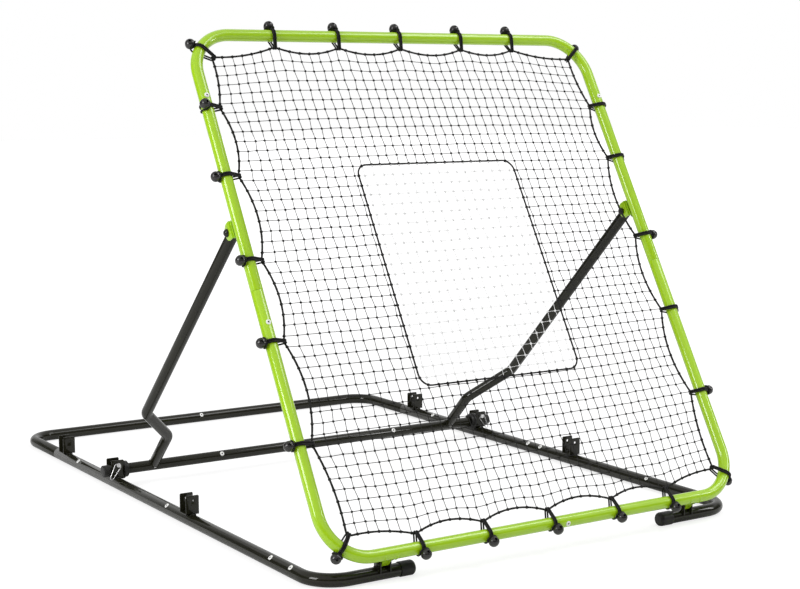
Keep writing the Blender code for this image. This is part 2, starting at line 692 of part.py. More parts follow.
def net_outline(route):
    """The edge of the mesh just inside the edge cord, set back at each tie to leave its loop room."""
    clear = EDGE_CORD + 2 * GAP
    deep = EDGE_CORD + 2 * TIE_CORD + 4 * GAP
    near = TIE_CORD + NET_STRAND
    outline = []
    count = len(route)
    for index, point in enumerate(route):
        before = (point - route[index - 1]).normalized()
        after = (route[(index + 1) % count] - point).normalized()
        along = (before + after).normalized()
        inward = Vector((along.y, -along.x))
        if index % EDGE_STEPS:
            outline.append(point + inward * clear)
            continue
        for run, sign in ((before, -1), (after, 1)):
            beside = point + run * sign * (near + TIE_CORD) + Vector((run.y, -run.x)) * clear
            notch = point + along * sign * near + inward * deep
            outline += [beside, notch][::-sign]
    return [(point.x, point.y) for point in outline]


def lattice(name, hinge):
    """The whole grid of net strands, before it is trimmed to its outline."""
    work = bmesh.new()
    across = math.ceil((FRAME_WIDTH - 2 * NET_INSET) / NET_PITCH)
    upward = math.ceil((FRAME_HEIGHT - 2 * NET_INSET) / NET_PITCH)
    bmesh.ops.create_grid(work, x_segments=across, y_segments=upward, size=0.5)
    bmesh.ops.scale(work, vec=(NET_PITCH * across, NET_PITCH * upward, 1.0), verts=work.verts)
    mesh = bpy.data.meshes.new(name)
    work.to_mesh(mesh)
    work.free()
    where = in_frame(0, FRAME_HEIGHT / 2)
    made = add(name, mesh, "cord", hinge, where, (math.radians(90), 0, 0))
    wire = made.modifiers.new("strands", "WIREFRAME")
    wire.thickness = NET_STRAND
    wire.use_even_offset = True
    wire.use_replace = True
    return made


def net(hinge):
    places = tie_places()
    upright = (math.radians(90), 0, 0)
    route = edge_points(places)
    points = [in_frame(point.x, point.y) for point in route]
    edge = tube_curve("net_edge_cord", points, EDGE_CORD, WIRE_SIDES, closed=True)
    add("net_edge_cord", edge, "cord", hinge)

    outline = net_outline(route)
    region = plate_curve("net_region", [outline], 0.02)
    region = cutter("net_region", region, hinge, in_frame(0, 0), upright)
    zone_at = in_frame(0, ZONE_UP)
    outer = rounded_outline(
        ZONE_WIDTH / 2 + ZONE_CORD + GAP, ZONE_HEIGHT / 2 + ZONE_CORD + GAP, ZONE_CORNER + ZONE_CORD + GAP
    )
    inner = rounded_outline(
        ZONE_WIDTH / 2 - ZONE_CORD - GAP, ZONE_HEIGHT / 2 - ZONE_CORD - GAP, ZONE_CORNER - ZONE_CORD - GAP
    )
    zone_out = cutter("zone_outside", plate_curve("zone_outside", [outer], 0.02), hinge, zone_at, upright)
    zone_in = cutter("zone_inside", plate_curve("zone_inside", [inner], 0.02), hinge, zone_at, upright)
    bpy.context.view_layer.update()
    region = as_mesh(region)
    zone_out = as_mesh(zone_out)
    zone_in = as_mesh(zone_in)
    black = lattice("net", hinge)
    boolean(black, region, "INTERSECT")
    boolean(black, zone_out, "DIFFERENCE")
    white = lattice("zone_net", hinge)
    white.data.materials[0] = materials["white"]
    boolean(white, zone_in, "INTERSECT")
    border = rounded_outline(ZONE_WIDTH / 2, ZONE_HEIGHT / 2, ZONE_CORNER)
    points = [in_frame(x, ZONE_UP + up) for x, up in border]
    add("zone_cord", tube_curve("zone_cord", points, ZONE_CORD, WIRE_SIDES, closed=True), "cord", hinge)
    for place in places:
        tie(*place, hinge)


def tie(name, at, outward, ball_turn, grip, hinge):
    """One elastic loop, taut round the tube and the edge cord, and its ball against the tube."""
    big = FRAME_TUBE + TIE_CORD + 2 * GAP
    small = grip + TIE_CORD + 2 * GAP
    lean = math.asin((big - small) / NET_INSET)
    points = []
    for centre, radius, first, last, count in (
        (0.0, big, -math.pi / 2 - lean, math.pi / 2 + lean, 7),
        (-NET_INSET, small, math.pi / 2 + lean, 1.5 * math.pi - lean, 4),
    ):
        step = (last - first) / count
        reach = radius / math.cos(step / 2)
        for index in range(count):
            angle = first + step * (index + 0.5)
            points.append((centre + reach * math.cos(angle), reach * math.sin(angle)))
    place = in_frame(at.x, at.y)
    out = Vector((outward.x, 0, outward.y))
    front = Vector((0, -1, 0))
    route = [place + out * along + front * across for along, across in points]
    loop = add(name, tube_curve(name, route, TIE_CORD, WIRE_SIDES, closed=True), "cord", hinge)
    bpy.context.view_layer.update()
    loop = as_mesh(loop)
    turn = math.radians(ball_turn)
    heading = out * math.cos(turn) + front * math.sin(turn)
    ball_at = place + heading * BALL_REACH
    seat = heading.to_track_quat("Z", "Y").to_euler()
    work = bmesh.new()
    bmesh.ops.create_uvsphere(work, u_segments=8, v_segments=6, radius=TIE_BALL)
    mesh = bpy.data.meshes.new(f"{name}_ball")
    work.to_mesh(mesh)
    work.free()
    boolean(loop, cutter(f"{name}_ball", mesh, hinge, ball_at, seat), "UNION")


for old in list(bpy.data.objects):
    bpy.data.objects.remove(old)

parts = collection("baseball_rebound_net")
cutters = collection("cutters", hidden=True)
materials = {
    "green": finish("green_paint", GREEN, 0.22, 0.0),
    "black": finish("black_paint", BLACK, 0.35, 0.0),
    "plastic": finish("black_plastic", BLACK, 0.5, 0.0),
    "zinc": finish("zinc", ZINC, 0.3, 1.0),
    "cord": finish("black_cord", CORD_BLACK, 0.8, 0.0),
    "white": finish("white_cord", WHITE, 0.8, 0.0),
}

base()
for hinge_side, hinge_name in ((-1, "left"), (1, "right")):
    front_hinge(hinge_side, hinge_name)
    lock_pin(hinge_side, hinge_name)
net_hinge = empty("net_hinge", HINGE, -FRAME_LEAN)
bpy.context.view_layer.update()
net_frame(net_hinge)
drop = CROSSBAR - PIVOT
prop_turn = math.atan2(drop.y, -drop.z)
prop_pivot = empty("prop_pivot", in_frame(0, PIVOT_UP, PIVOT_BACK), prop_turn + FRAME_LEAN, net_hinge)
bpy.context.view_layer.update()
prop(prop_pivot)
net(net_hinge)
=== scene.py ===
"""Looks of the baseball rebound net: finer tubes, the knotted net, elastic ties, fittings and finishes."""

import math

import bpy
import numpy as np
from mathutils import Matrix, Vector


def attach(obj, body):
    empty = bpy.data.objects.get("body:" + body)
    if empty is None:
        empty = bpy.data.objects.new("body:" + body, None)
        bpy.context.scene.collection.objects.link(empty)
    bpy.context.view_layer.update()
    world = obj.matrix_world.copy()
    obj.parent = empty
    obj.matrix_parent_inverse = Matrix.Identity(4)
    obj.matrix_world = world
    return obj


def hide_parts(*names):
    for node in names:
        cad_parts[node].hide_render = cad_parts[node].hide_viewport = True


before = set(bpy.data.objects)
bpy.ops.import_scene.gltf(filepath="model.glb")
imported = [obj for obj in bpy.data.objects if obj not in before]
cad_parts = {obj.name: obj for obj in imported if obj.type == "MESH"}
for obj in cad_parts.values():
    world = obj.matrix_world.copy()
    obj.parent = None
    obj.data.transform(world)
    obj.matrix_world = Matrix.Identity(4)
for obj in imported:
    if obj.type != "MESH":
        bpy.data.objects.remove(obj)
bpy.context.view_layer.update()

# Sizes of the frame and stand, in metres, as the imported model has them
LEAN = math.radians(30.0)
HALF_FRAME = 0.604
FRAME_HEIGHT = 1.34
FRAME_TUBE = 0.015
FRAME_BEND = 0.11
FRAME_SEAM = 0.652
RAIL_Y = -0.91385
RAIL_HEIGHT = 0.068
HALF_BASE = 0.6155
BASE_TUBE = 0.016
BASE_BEND = 0.080
FRONT_Y = RAIL_Y + 0.031
REAR_Y = FRONT_Y + 1.821
SEAM_Y = REAR_Y - 0.262
FRONT_RUN_END = 0.369
HINGE_X = 0.454
BAR_TUBE = 0.0147
STRUT_TUBE = 0.0147
CRADLES = {"front": RAIL_Y + 0.687, "middle": RAIL_Y + 1.160, "rear": REAR_Y - 0.331}
CRADLE_HALF = 0.018
SLOT = BAR_TUBE + 0.0015
WALL = 0.0025
PIN_HOLE = 0.0033
PIVOT_UP = 0.820
PIVOT_BACK = 0.0345
STRUT_INSET = 0.102
GAP = 0.0006
CAP_LENGTH = 0.019

# The net: meshes across and up, and where each tie sits, as a share of its tube's length
ACROSS = 40
UPWARD = 46
TIE_REACH = 0.033
TIE_BALL = 0.0125
TIES = {
    "top": (0.191, 0.345, 0.501, 0.661, 0.801),
    "right": (0.158, 0.278, 0.456, 0.619, 0.796),
    "bottom": (0.188, 0.333, 0.496, 0.652, 0.807),
    "left": (0.205, 0.391, 0.544, 0.709, 0.847),
}

# How steeply each corner tie pulls, and how far each ball is turned on its tube towards the front, in degrees
CORNER_TURNS = {"top_left": 37.0, "top_right": 41.0, "bottom_right": 37.0, "bottom_left": 47.0}
BALL_TURNS = {
    "top": (0, 0, 0, 0, 0),
    "right": (-52, -38, 0, -35, 0),
    "bottom": (42, 42, 42, 42, 42),
    "left": (10, 10, 20, 5, 55),
    "corner": (0, -20, -30, 0),
}

# The meshes up the left side at which its ties fall, and the strike zone's border
LEFT_ROWS = (8.3, 17.5, 25.25, 33.45, 40.55)
ZONE_LEFT, ZONE_RIGHT = -0.240, 0.240
ZONE_LOW, ZONE_HIGH = 0.378, 0.970
ZONE_CORNER = 0.030

UP = Vector((0.0, math.sin(LEAN), math.cos(LEAN)))
BACK = Vector((0.0, math.cos(LEAN), -math.sin(LEAN)))
RAIL = Vector((0.0, RAIL_Y, RAIL_HEIGHT))
HINGE = RAIL + BACK * 0.033 - UP * 0.013
PIVOT = RAIL + BACK * PIVOT_BACK + UP * PIVOT_UP
BAR = Vector((0.0, CRADLES["middle"], 2 * BASE_TUBE + 0.0031 + BAR_TUBE))
PIN_Z = BAR.z + BAR_TUBE + 0.0033
DOWN = (BAR - PIVOT).normalized()
PROP_LENGTH = (BAR - PIVOT).length
BAR_TIP = HALF_BASE + CRADLE_HALF + GAP + CAP_LENGTH
SIDES = ((-1, "left"), (1, "right"))
ACROSS_X = Vector((1.0, 0.0, 0.0))
ALONG_Y = Vector((0.0, 1.0, 0.0))
UP_Z = Vector((0.0, 0.0, 1.0))


def on_net(x, up, back=0.0):
    """A place on the leaning frame: across, up from the bottom rail, and behind the tubes' middle."""
    return RAIL + Vector((x, 0.0, 0.0)) + UP * up + BACK * back


# Modelling

TUBE_LIP = 0.0006
PLATE_EASE = 0.0004
MERGE = 0.00001


def deselect():
    if bpy.context.object and bpy.context.object.mode != "OBJECT":
        bpy.ops.object.mode_set(mode="OBJECT")
    bpy.ops.object.select_all(action="DESELECT")


def take(*pieces):
    """Selects these pieces alone. The first is the active one."""
    deselect()
    for piece in pieces:
        piece.select_set(True)
    bpy.context.view_layer.objects.active = pieces[0]


def named(name):
    piece = bpy.context.object
    piece.name = name
    piece.data.name = name
    return piece


def linked(name, data):
    piece = bpy.data.objects.new(name, data)
    bpy.context.scene.collection.objects.link(piece)
    return piece


def settle(piece):
    """Applies the modifiers and the place, and turns every face outward."""
    take(piece)
    for modifier in list(piece.modifiers):
        bpy.ops.object.modifier_apply(modifier=modifier.name)
    bpy.ops.object.transform_apply(location=True, rotation=True, scale=True)
    bpy.ops.object.mode_set(mode="EDIT")
    bpy.ops.mesh.select_all(action="SELECT")
    bpy.ops.mesh.normals_make_consistent(inside=False)
    bpy.ops.object.mode_set(mode="OBJECT")
    return piece


def joined(*pieces):
    take(*pieces)
    bpy.ops.object.join()
    return bpy.context.object


def place_on(piece, body, look, slot, *nodes, angle=35.0):
    take(piece)
    bpy.ops.object.shade_smooth_by_angle(angle=math.radians(angle))
    piece.data.materials.clear()
    piece.data.materials.append(look)
    if nodes:
        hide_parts(*nodes)
    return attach(piece, body)


def basis(x_axis, y_axis, origin):
    """The place of a piece whose own X and Y lie along these axes."""
    x_axis, y_axis = Vector(x_axis).normalized(), Vector(y_axis).normalized()
    turn = Matrix((x_axis, y_axis, x_axis.cross(y_axis))).transposed()
    return Matrix.Translation(origin) @ turn.to_4x4()


def bent_tube(name, corners, bend_radius, radius, sides=32, bend_steps=14):
    """A tube drawn out from one ring: extruded along each straight and spun round each bend."""
    corners = [Vector(corner) for corner in corners]
    heading = (corners[1] - corners[0]).normalized()
    deselect()
    facing = heading.to_track_quat("Z", "Y").to_euler()
    bpy.ops.mesh.primitive_circle_add(vertices=sides, radius=radius, location=corners[0], rotation=facing)
    tube = named(name)
    bpy.ops.object.transform_apply(location=True, rotation=True, scale=True)
    bpy.ops.object.mode_set(mode="EDIT")
    bpy.ops.mesh.select_all(action="SELECT")
    at = corners[0]
    for corner, after in zip(corners[1:], corners[2:]):
        out = (after - corner).normalized()
        bend = heading.angle(out)
        reach = bend_radius * math.tan(bend / 2)
        into = corner - heading * reach
        bpy.ops.mesh.extrude_region_move(TRANSFORM_OT_translate={"value": into - at})
        centre = into + (out - heading * heading.dot(out)).normalized() * bend_radius
        bpy.ops.mesh.spin(steps=bend_steps, angle=bend, center=centre, axis=out.cross(heading))
        heading = out
        at = corner + out * reach
    bpy.ops.mesh.extrude_region_move(TRANSFORM_OT_translate={"value": corners[-1] - at})
    bpy.ops.mesh.select_all(action="SELECT")
    bpy.ops.mesh.fill_holes(sides=0)
    bpy.ops.object.mode_set(mode="OBJECT")
    bevel = tube.modifiers.new("lip", "BEVEL")
    bevel.width = TUBE_LIP
    bevel.segments = 2
    bevel.limit_method = "ANGLE"
    bevel.angle_limit = math.radians(60)
    return settle(tube)


def rounded(profile, radius, steps=3):
    """An outline with its inner corners rounded, each no more than its shorter side allows."""
    points = [Vector(profile[0])]
    for before, corner, after in zip(profile, profile[1:], profile[2:]):
        corner = Vector(corner)
        into, out = Vector(before) - corner, Vector(after) - corner
        cut = min(radius, into.length * 0.45, out.length * 0.45)
        start, end = corner + into.normalized() * cut, corner + out.normalized() * cut
        for step in range(steps + 1):
            share = step / steps
            points.append(start.lerp(corner, share).lerp(corner.lerp(end, share), share))
    points.append(Vector(profile[-1]))
    return points


def lathe(name, profile, at, axis, round_by=0.0008, steps=40, ring=False, spin=0.0):
    """A turned piece: (radius, height) down its outside, about an axis through this place."""
    if ring:
        middle = [(a + b) / 2 for a, b in zip(profile[0], profile[-1])]
        profile = [middle, *profile, middle]
    points = [(point.x, 0.0, point.y) for point in rounded(profile, round_by)]
    mesh = bpy.data.meshes.new(name)
    mesh.from_pydata(points, [(i, i + 1) for i in range(len(points) - 1)], [])
    piece = linked(name, mesh)
    screw = piece.modifiers.new("turned", "SCREW")
    screw.steps = screw.render_steps = steps
    screw.use_merge_vertices = True
    screw.merge_threshold = MERGE
    piece.modifiers.new("closed", "WELD").merge_threshold = MERGE
    turn = Vector(axis).to_track_quat("Z", "Y").to_matrix().to_4x4()
    piece.matrix_world = Matrix.Translation(at) @ turn @ Matrix.Rotation(spin, 4, "Z")
    return settle(piece)


def plate(name, outlines, thickness, place):
    """A flat plate with eased edges. The outlines after the first are its holes."""
    curve = bpy.data.curves.new(name, "CURVE")
    curve.dimensions = "2D"
    curve.fill_mode = "BOTH"
    curve.extrude = thickness / 2 - PLATE_EASE
    curve.bevel_depth = PLATE_EASE
    curve.bevel_resolution = 1
    curve.offset = -PLATE_EASE
    for outline in outlines:
        spline = curve.splines.new("POLY")
        spline.points.add(len(outline) - 1)
        for target, point in zip(spline.points, outline):
            target.co = (point[0], point[1], 0.0, 1.0)
        spline.use_cyclic_u = True
    piece = linked(name, curve)
    take(piece)
    bpy.ops.object.convert(target="MESH")
    piece = bpy.context.object
    piece.modifiers.new("closed", "WELD").merge_threshold = MERGE
    piece.matrix_world = place
    return settle(piece)


def ring_outline(radius, centre=(0.0, 0.0), steps=28):
    turns = [math.tau * step / steps for step in range(steps)]
    return [(centre[0] + radius * math.cos(turn), centre[1] + radius * math.sin(turn)) for turn in turns]


def cornered(outline, radii, steps=5):
    """A closed outline whose corners are rounded, each by its own radius."""
    points = []
    count = len(outline)
    for index, radius in enumerate(radii):
        corner = Vector(outline[index])
        into = Vector(outline[index - 1]) - corner
        out = Vector(outline[(index + 1) % count]) - corner
        if radius == 0:
            points.append(corner)
            continue
        half = into.angle(out) / 2
        cut = radius / math.tan(half)
        start, end = corner + into.normalized() * cut, corner + out.normalized() * cut
        centre = corner + (into.normalized() + out.normalized()).normalized() * radius / math.sin(half)
        for step in range(steps + 1):
            spoke = (start - centre).lerp(end - centre, step / steps)
            points.append(centre + spoke.normalized() * radius)
    return points


def wire(name, runs, radius, resolution=2, closed=False, swell=None):
    """Round cords or beads along these runs of places. The swell gives each point its share of the radius."""
    curve = bpy.data.curves.new(name, "CURVE")
    curve.dimensions = "3D"
    curve.bevel_depth = radius
    curve.bevel_resolution = resolution
    curve.use_fill_caps = not closed
    for run in runs:
        spline = curve.splines.new("POLY")
        spline.points.add(len(run) - 1)
        for index, (target, point) in enumerate(zip(spline.points, run)):
            target.co = (*point, 1.0)
            if swell:
                target.radius = swell[index % len(swell)]
        spline.use_cyclic_u = closed
    piece = linked(name, curve)
    take(piece)
    bpy.ops.object.convert(target="MESH")
    return bpy.context.object


def arc_weld(name, middle, out, over, reach, turns, steps, radius, swell):
    """A weld bead on part of a tube's outside, from one turn about its middle to another, in degrees."""
    bead = []
    for step in range(steps + 1):
        turn = math.radians(turns[0] + (turns[1] - turns[0]) * step / steps)
        bead.append(middle + (out * math.cos(turn) + over * math.sin(turn)) * reach)
    return wire(name, [bead], radius, swell=swell)


# Finishes

# Where the Mix node keeps its two colours and its result
MIX_FIRST, MIX_SECOND, MIX_RESULT = 6, 7, 2


class Signal:
    """The output of a shader node, so that a pattern can be written as a sum."""

    def __init__(self, finish, socket):
        self.finish = finish
        self.socket = socket

    def maths(self, operation, *values):
        inputs = {number: value for number, value in enumerate(values)}
        return self.finish.node("ShaderNodeMath", {"operation": operation}, inputs)

    def __add__(self, other):
        return self.maths("ADD", self, other)

    def __radd__(self, other):
        return self.maths("ADD", other, self)

    def __sub__(self, other):
        return self.maths("SUBTRACT", self, other)

    def __rsub__(self, other):
        return self.maths("SUBTRACT", other, self)

    def __mul__(self, other):
        return self.maths("MULTIPLY", self, other)

    def __rmul__(self, other):
        return self.maths("MULTIPLY", other, self)

    def __gt__(self, other):
        return self.maths("GREATER_THAN", self, other)


class Finish:
    """A material of this object, made from nodes."""

    def __init__(self, name, **fixed):
        self.material = bpy.data.materials.new(name)
        self.material.use_nodes = True
        self.tree = self.material.node_tree
        self.shader = self.tree.nodes["Principled BSDF"]
        for socket, value in fixed.items():
            self.shader.inputs[self.title(socket)].default_value = value

    def title(self, socket):
        return socket.replace("_", " ").title().replace("Ior", "IOR")

    def node(self, kind, settings=None, inputs=None, output=0):
        made = self.tree.nodes.new(kind)
        for key, value in (settings or {}).items():
            setattr(made, key, value)
        for key, value in (inputs or {}).items():
            self.feed(made.inputs[key], value)
        return Signal(self, made.outputs[output])

    def feed(self, socket, value):
        if isinstance(value, Signal):
            self.tree.links.new(value.socket, socket)
        else:
            socket.default_value = value

    def place(self):
        return self.node("ShaderNodeTexCoord", output="Object")

    def noise(self, where, scale, detail=2.0, roughness=0.5):
        inputs = {"Vector": where, "Scale": scale, "Detail": detail, "Roughness": roughness}
        return self.node("ShaderNodeTexNoise", None, inputs, "Fac")

    def blend(self, share, first, second):
        first = (*first, 1.0) if isinstance(first, tuple) else first
        inputs = {"Factor": share, MIX_FIRST: first, MIX_SECOND: (*second, 1.0)}
        return self.node("ShaderNodeMix", {"data_type": "RGBA"}, inputs, MIX_RESULT)

    def shape(self, height, strength, distance):
        inputs = {"Height": height, "Strength": strength, "Distance": distance}
        self.feed(self.shader.inputs["Normal"], self.node("ShaderNodeBump", None, inputs))

    def surface(self, **varying):
        for socket, value in varying.items():
            self.feed(self.shader.inputs[self.title(socket)], value)
        return self.material


def painted(name, dark, light, gloss, orange_peel, coat, coat_gloss, sheen_level):
    """Baked paint under a clear coat: a faint orange peel, pale specks painted in as the glints of its
    sparkle, and a tone that drifts.
    """
    paint = Finish(name, coat_weight=coat, coat_roughness=coat_gloss, specular_ior_level=sheen_level)
    where = paint.place()
    drift = paint.noise(where, 7.0)
    grain = paint.noise(where, 620.0, 2.0)
    dust = paint.noise(where, 60.0, 4.0, 0.6)
    # Painted glints: sparse pale specks mixed into the colour to stand for the coat's sparkle
    glint_specks = paint.noise(where, 900.0, 3.0, 0.7) > 0.71
    tone = paint.blend(drift * 0.7 + dust * 0.3, dark, light)
    tone = paint.blend(glint_specks * 0.18, tone, (0.60, 0.60, 0.56))
    paint.shape(grain, orange_peel, 0.0004)
    return paint.surface(base_color=tone, roughness=gloss + dust * 0.12)


def moulded(name, dark, light, gloss, sheen_level):
    """Moulded plastic or rubber with a fine spark-eroded grain."""
    plastic = Finish(name, specular_ior_level=sheen_level)
    where = plastic.place()
    grain = plastic.noise(where, 1500.0, 2.0)
    patch = plastic.noise(where, 90.0, 3.0)
    tone = plastic.blend(patch, dark, light)
    plastic.shape(grain, 0.25, 0.0003)
    return plastic.surface(base_color=tone, roughness=gloss + patch * 0.15)


def plated(name, dark, light, metal):
    """Plated steel or bright alloy, a little mottled."""
    plating = Finish(name, metallic=metal)
    where = plating.place()
    mottle = plating.noise(where, 260.0, 3.0)
    tone = plating.blend(mottle, dark, light)
    plating.shape(mottle, 0.15, 0.0003)
    return plating.surface(base_color=tone, roughness=0.22 + mottle * 0.2)


def twine(name, dark, light):
    """Twisted twine: matt, with fibres that catch the light."""
    yarn = Finish(name, specular_ior_level=0.25)
    where = yarn.place()
    fibre = yarn.noise(where, 1400.0, 3.0, 0.7)
    fade = yarn.noise(where, 14.0)
    tone = yarn.blend(fibre * 0.7 + fade * 0.3, dark, light)
    yarn.shape(fibre, 0.5, 0.0004)
    return yarn.surface(base_color=tone, roughness=0.75 + fibre * 0.2)


LIME = painted("lime_paint", (0.360, 0.625, 0.004), (0.410, 0.690, 0.007),
               gloss=0.30, orange_peel=0.006, coat=0.9, coat_gloss=0.085, sheen_level=0.25)
BLACK = painted("black_paint", (0.0085, 0.0082, 0.0042), (0.0160, 0.0156, 0.0082),
                gloss=0.34, orange_peel=0.08, coat=0.62, coat_gloss=0.03, sheen_level=0.04)
PLASTIC = moulded("black_plastic", (0.007, 0.007, 0.0065), (0.015, 0.0145, 0.0135),
                  gloss=0.36, sheen_level=0.35)
ELASTIC = moulded("black_elastic", (0.004, 0.004, 0.0038), (0.010, 0.0095, 0.009),
                  gloss=0.45, sheen_level=0.2)
BALL = moulded("ball_plastic", (0.007, 0.0065, 0.006), (0.015, 0.014, 0.0125),
               gloss=0.18, sheen_level=0.6)
ZINC = plated("zinc_plate", (0.55, 0.55, 0.55), (0.85, 0.85, 0.85), metal=0.8)
ALLOY = plated("rivet_alloy", (0.90, 0.90, 0.88), (0.97, 0.97, 0.95), metal=0.0)
BLACK_TWINE = twine("black_twine", (0.008, 0.008, 0.008), (0.026, 0.025, 0.024))
WHITE_TWINE = twine("white_twine", (0.74, 0.74, 0.74), (0.88, 0.88, 0.88))


# Camera, light and floor

camera_data = bpy.data.cameras.new("photo_camera")
camera_data.lens = 73.277
camera_data.sensor_width = 36.0
CAMERA_PLACE = Vector((-2.34307, -3.89563, 1.09486))
camera = linked("photo_camera", camera_data)
YAW, PITCH, ROLL = 0.57225, -0.12545, -0.00287
forward = Vector((math.sin(YAW) * math.cos(PITCH), math.cos(YAW) * math.cos(PITCH), math.sin(PITCH)))
right = Vector((math.cos(YAW), -math.sin(YAW), 0.0))
above = right.cross(forward)
aside = right * math.cos(ROLL) + above * math.sin(ROLL)
top = above * math.cos(ROLL) - right * math.sin(ROLL)
camera.matrix_world = Matrix.Translation(CAMERA_PLACE) @ Matrix((aside, top, -forward)).transposed().to_4x4()
bpy.context.scene.camera = camera
bpy.context.scene.view_settings.view_transform = "Standard"


def softbox(name, place, aim, width, height, watts):
    lamp = bpy.data.lights.new(name, "AREA")
    lamp.shape = "RECTANGLE"
    lamp.size = width
    lamp.size_y = height
    lamp.energy = watts
    holder = linked(name, lamp)
    holder.location = place
    holder.rotation_euler = (Vector(aim) - Vector(place)).to_track_quat("-Z", "Y").to_euler()


softbox("left", (-5.1, -1.15, 2.35), aim=(-0.6, -0.6, 0.8), width=1.9, height=2.2, watts=136.0)
softbox("overhead", (2.4, -1.7, 4.2), aim=(0, -0.4, 0.4), width=2.2, height=1.4, watts=48.0)
softbox("right", (2.6, -2.2, 1.5), aim=(0, -0.6, 0.5), width=0.5, height=1.0, watts=15.0)

# The studio: a white backdrop behind the object, a bright ceiling, and dark walls
world = bpy.data.worlds.new("studio")
bpy.context.scene.world = world
world.use_nodes = True
sky = world.node_tree


def sky_node(kind, *links, **settings):
    made = sky.nodes.new(kind)
    for key, value in settings.items():
        setattr(made, key, value)
    for source, number in links:
        sky.links.new(source, made.inputs[number])
    return made


def graded(source, *limits):
    """A smooth step: as the source goes from the first limit to the second, the third becomes the fourth."""
    made = sky_node("ShaderNodeMapRange", (source, 0), interpolation_type="SMOOTHSTEP")
    for number, value in enumerate(limits, 1):
        made.inputs[number].default_value = value
    return made.outputs[0]


towards = sky_node("ShaderNodeTexCoord").outputs["Generated"]
facing = sky_node("ShaderNodeVectorMath", (towards, 0), operation="DOT_PRODUCT")
facing.inputs[1].default_value = (math.sin(YAW), math.cos(YAW), 0.0)
backdrop = graded(facing.outputs["Value"], 0.50, 0.85, 0.08, 0.85)
height = sky_node("ShaderNodeSeparateXYZ", (towards, 0))
ceiling = graded(height.outputs["Z"], 0.36, 0.50, 0.0, 0.75)
brighter = sky_node("ShaderNodeMath", (backdrop, 0), (ceiling, 1), operation="MAXIMUM")
path = sky_node("ShaderNodeLightPath")
direct, through = path.outputs["Is Camera Ray"], path.outputs["Is Transmission Ray"]
seen = sky_node("ShaderNodeMath", (direct, 0), (through, 1), operation="MAXIMUM")
white = sky_node("ShaderNodeBackground")
white.inputs["Color"].default_value = (1, 1, 1, 1)
room = sky.nodes["Background"]
room.inputs["Color"].default_value = (1, 1, 1, 1)
sky.links.new(brighter.outputs[0], room.inputs["Strength"])
either = sky_node("ShaderNodeMixShader", (seen.outputs[0], 0), (room.outputs[0], 1), (white.outputs[0], 2))
sky.links.new(either.outputs[0], sky.nodes["World Output"].inputs[0])

# The floor: it glows white for the camera, a little less near the object, where its shadow shows
deselect()
bpy.ops.mesh.primitive_plane_add(size=60.0, location=(0, 0, -0.0002))
floor = named("floor")
paper = Finish("white_floor", roughness=0.9)
paper.shader.inputs["Emission Strength"].default_value = 1.0
straight = paper.node("ShaderNodeLightPath", output="Is Camera Ray")
mirrored = paper.node("ShaderNodeLightPath", output="Is Glossy Ray")
away = paper.node("ShaderNodeVectorMath", {"operation": "LENGTH"}, {0: paper.place()}, "Value")
near_and_far = {0: away, 1: 1.2, 2: 5.0, 3: 0.75, 4: 0.94}
glow = paper.node("ShaderNodeMapRange", {"interpolation_type": "SMOOTHSTEP"}, near_and_far)
paper.feed(paper.shader.inputs["Emission Color"], straight * glow + mirrored * 0.15)
paper.feed(paper.shader.inputs["Base Color"], 0.8 - straight * 0.45)
floor.data.materials.append(paper.material)


# The leaning frame: two halves of tube with a butt seam, and lugs for the hinges and the prop

upper = [on_net(-HALF_FRAME, FRAME_SEAM + 0.0003), on_net(-HALF_FRAME, FRAME_HEIGHT)]
upper += [on_net(HALF_FRAME, FRAME_HEIGHT), on_net(HALF_FRAME, FRAME_SEAM + 0.0003)]
place_on(bent_tube("upper_frame", upper, FRAME_BEND, FRAME_TUBE, 40, 20), "net_frame", LIME, "green_paint",
         "frame_upper_tube")


def flared_lug(name, x):
    """The lug under the bottom rail: a round end about the bolt, drawn out and widened up to the rail."""
    towards_rail = (RAIL - HINGE).normalized()
    reach = (RAIL - HINGE).length
    across = Vector((0, -towards_rail.z, towards_rail.y))
    end_radius, half_width = 0.0065, 0.0110
    rim = []
    for step in range(13):
        turn = math.pi * (0.5 + step / 12)
        rim.append((towards_rail * math.cos(turn) + across * math.sin(turn)) * end_radius)

    # How far each station is from the bolt, its half depth and its half width
    stations = [(0.0155, 0.0078, half_width), (0.0185, 0.0088, 0.0142), (reach - 0.0075, 0.0105, 0.0230)]
    verts, faces = [], []
    for half in (-1, 1):
        verts += [HINGE + ACROSS_X * (x + half * half_width) + point for point in rim]
        for along, deep, wide in stations:
            middle = HINGE + ACROSS_X * (x + half * wide) + towards_rail * along
            verts += [middle + across * edge * deep for edge in (-1, 1)]
    count = len(rim) + 6
    for half in (0, count):
        faces.append([half + i for i in range(15)])
        faces += [[first, first + 2, first + 3, first + 1] for first in (half + 13, half + 15)]
    order = [*range(13), 13, 15, 17, 18, 16, 14]
    for near, after in zip(order, order[1:] + order[:1]):
        faces.append([near, after, count + after, count + near])
    mesh = bpy.data.meshes.new(name)
    mesh.from_pydata(verts, [], faces)
    lug = linked(name, mesh)
    ease = lug.modifiers.new("eased", "BEVEL")
    ease.width = 0.0008
    ease.segments = 2
    ease.angle_limit = math.radians(50)
    return settle(lug)


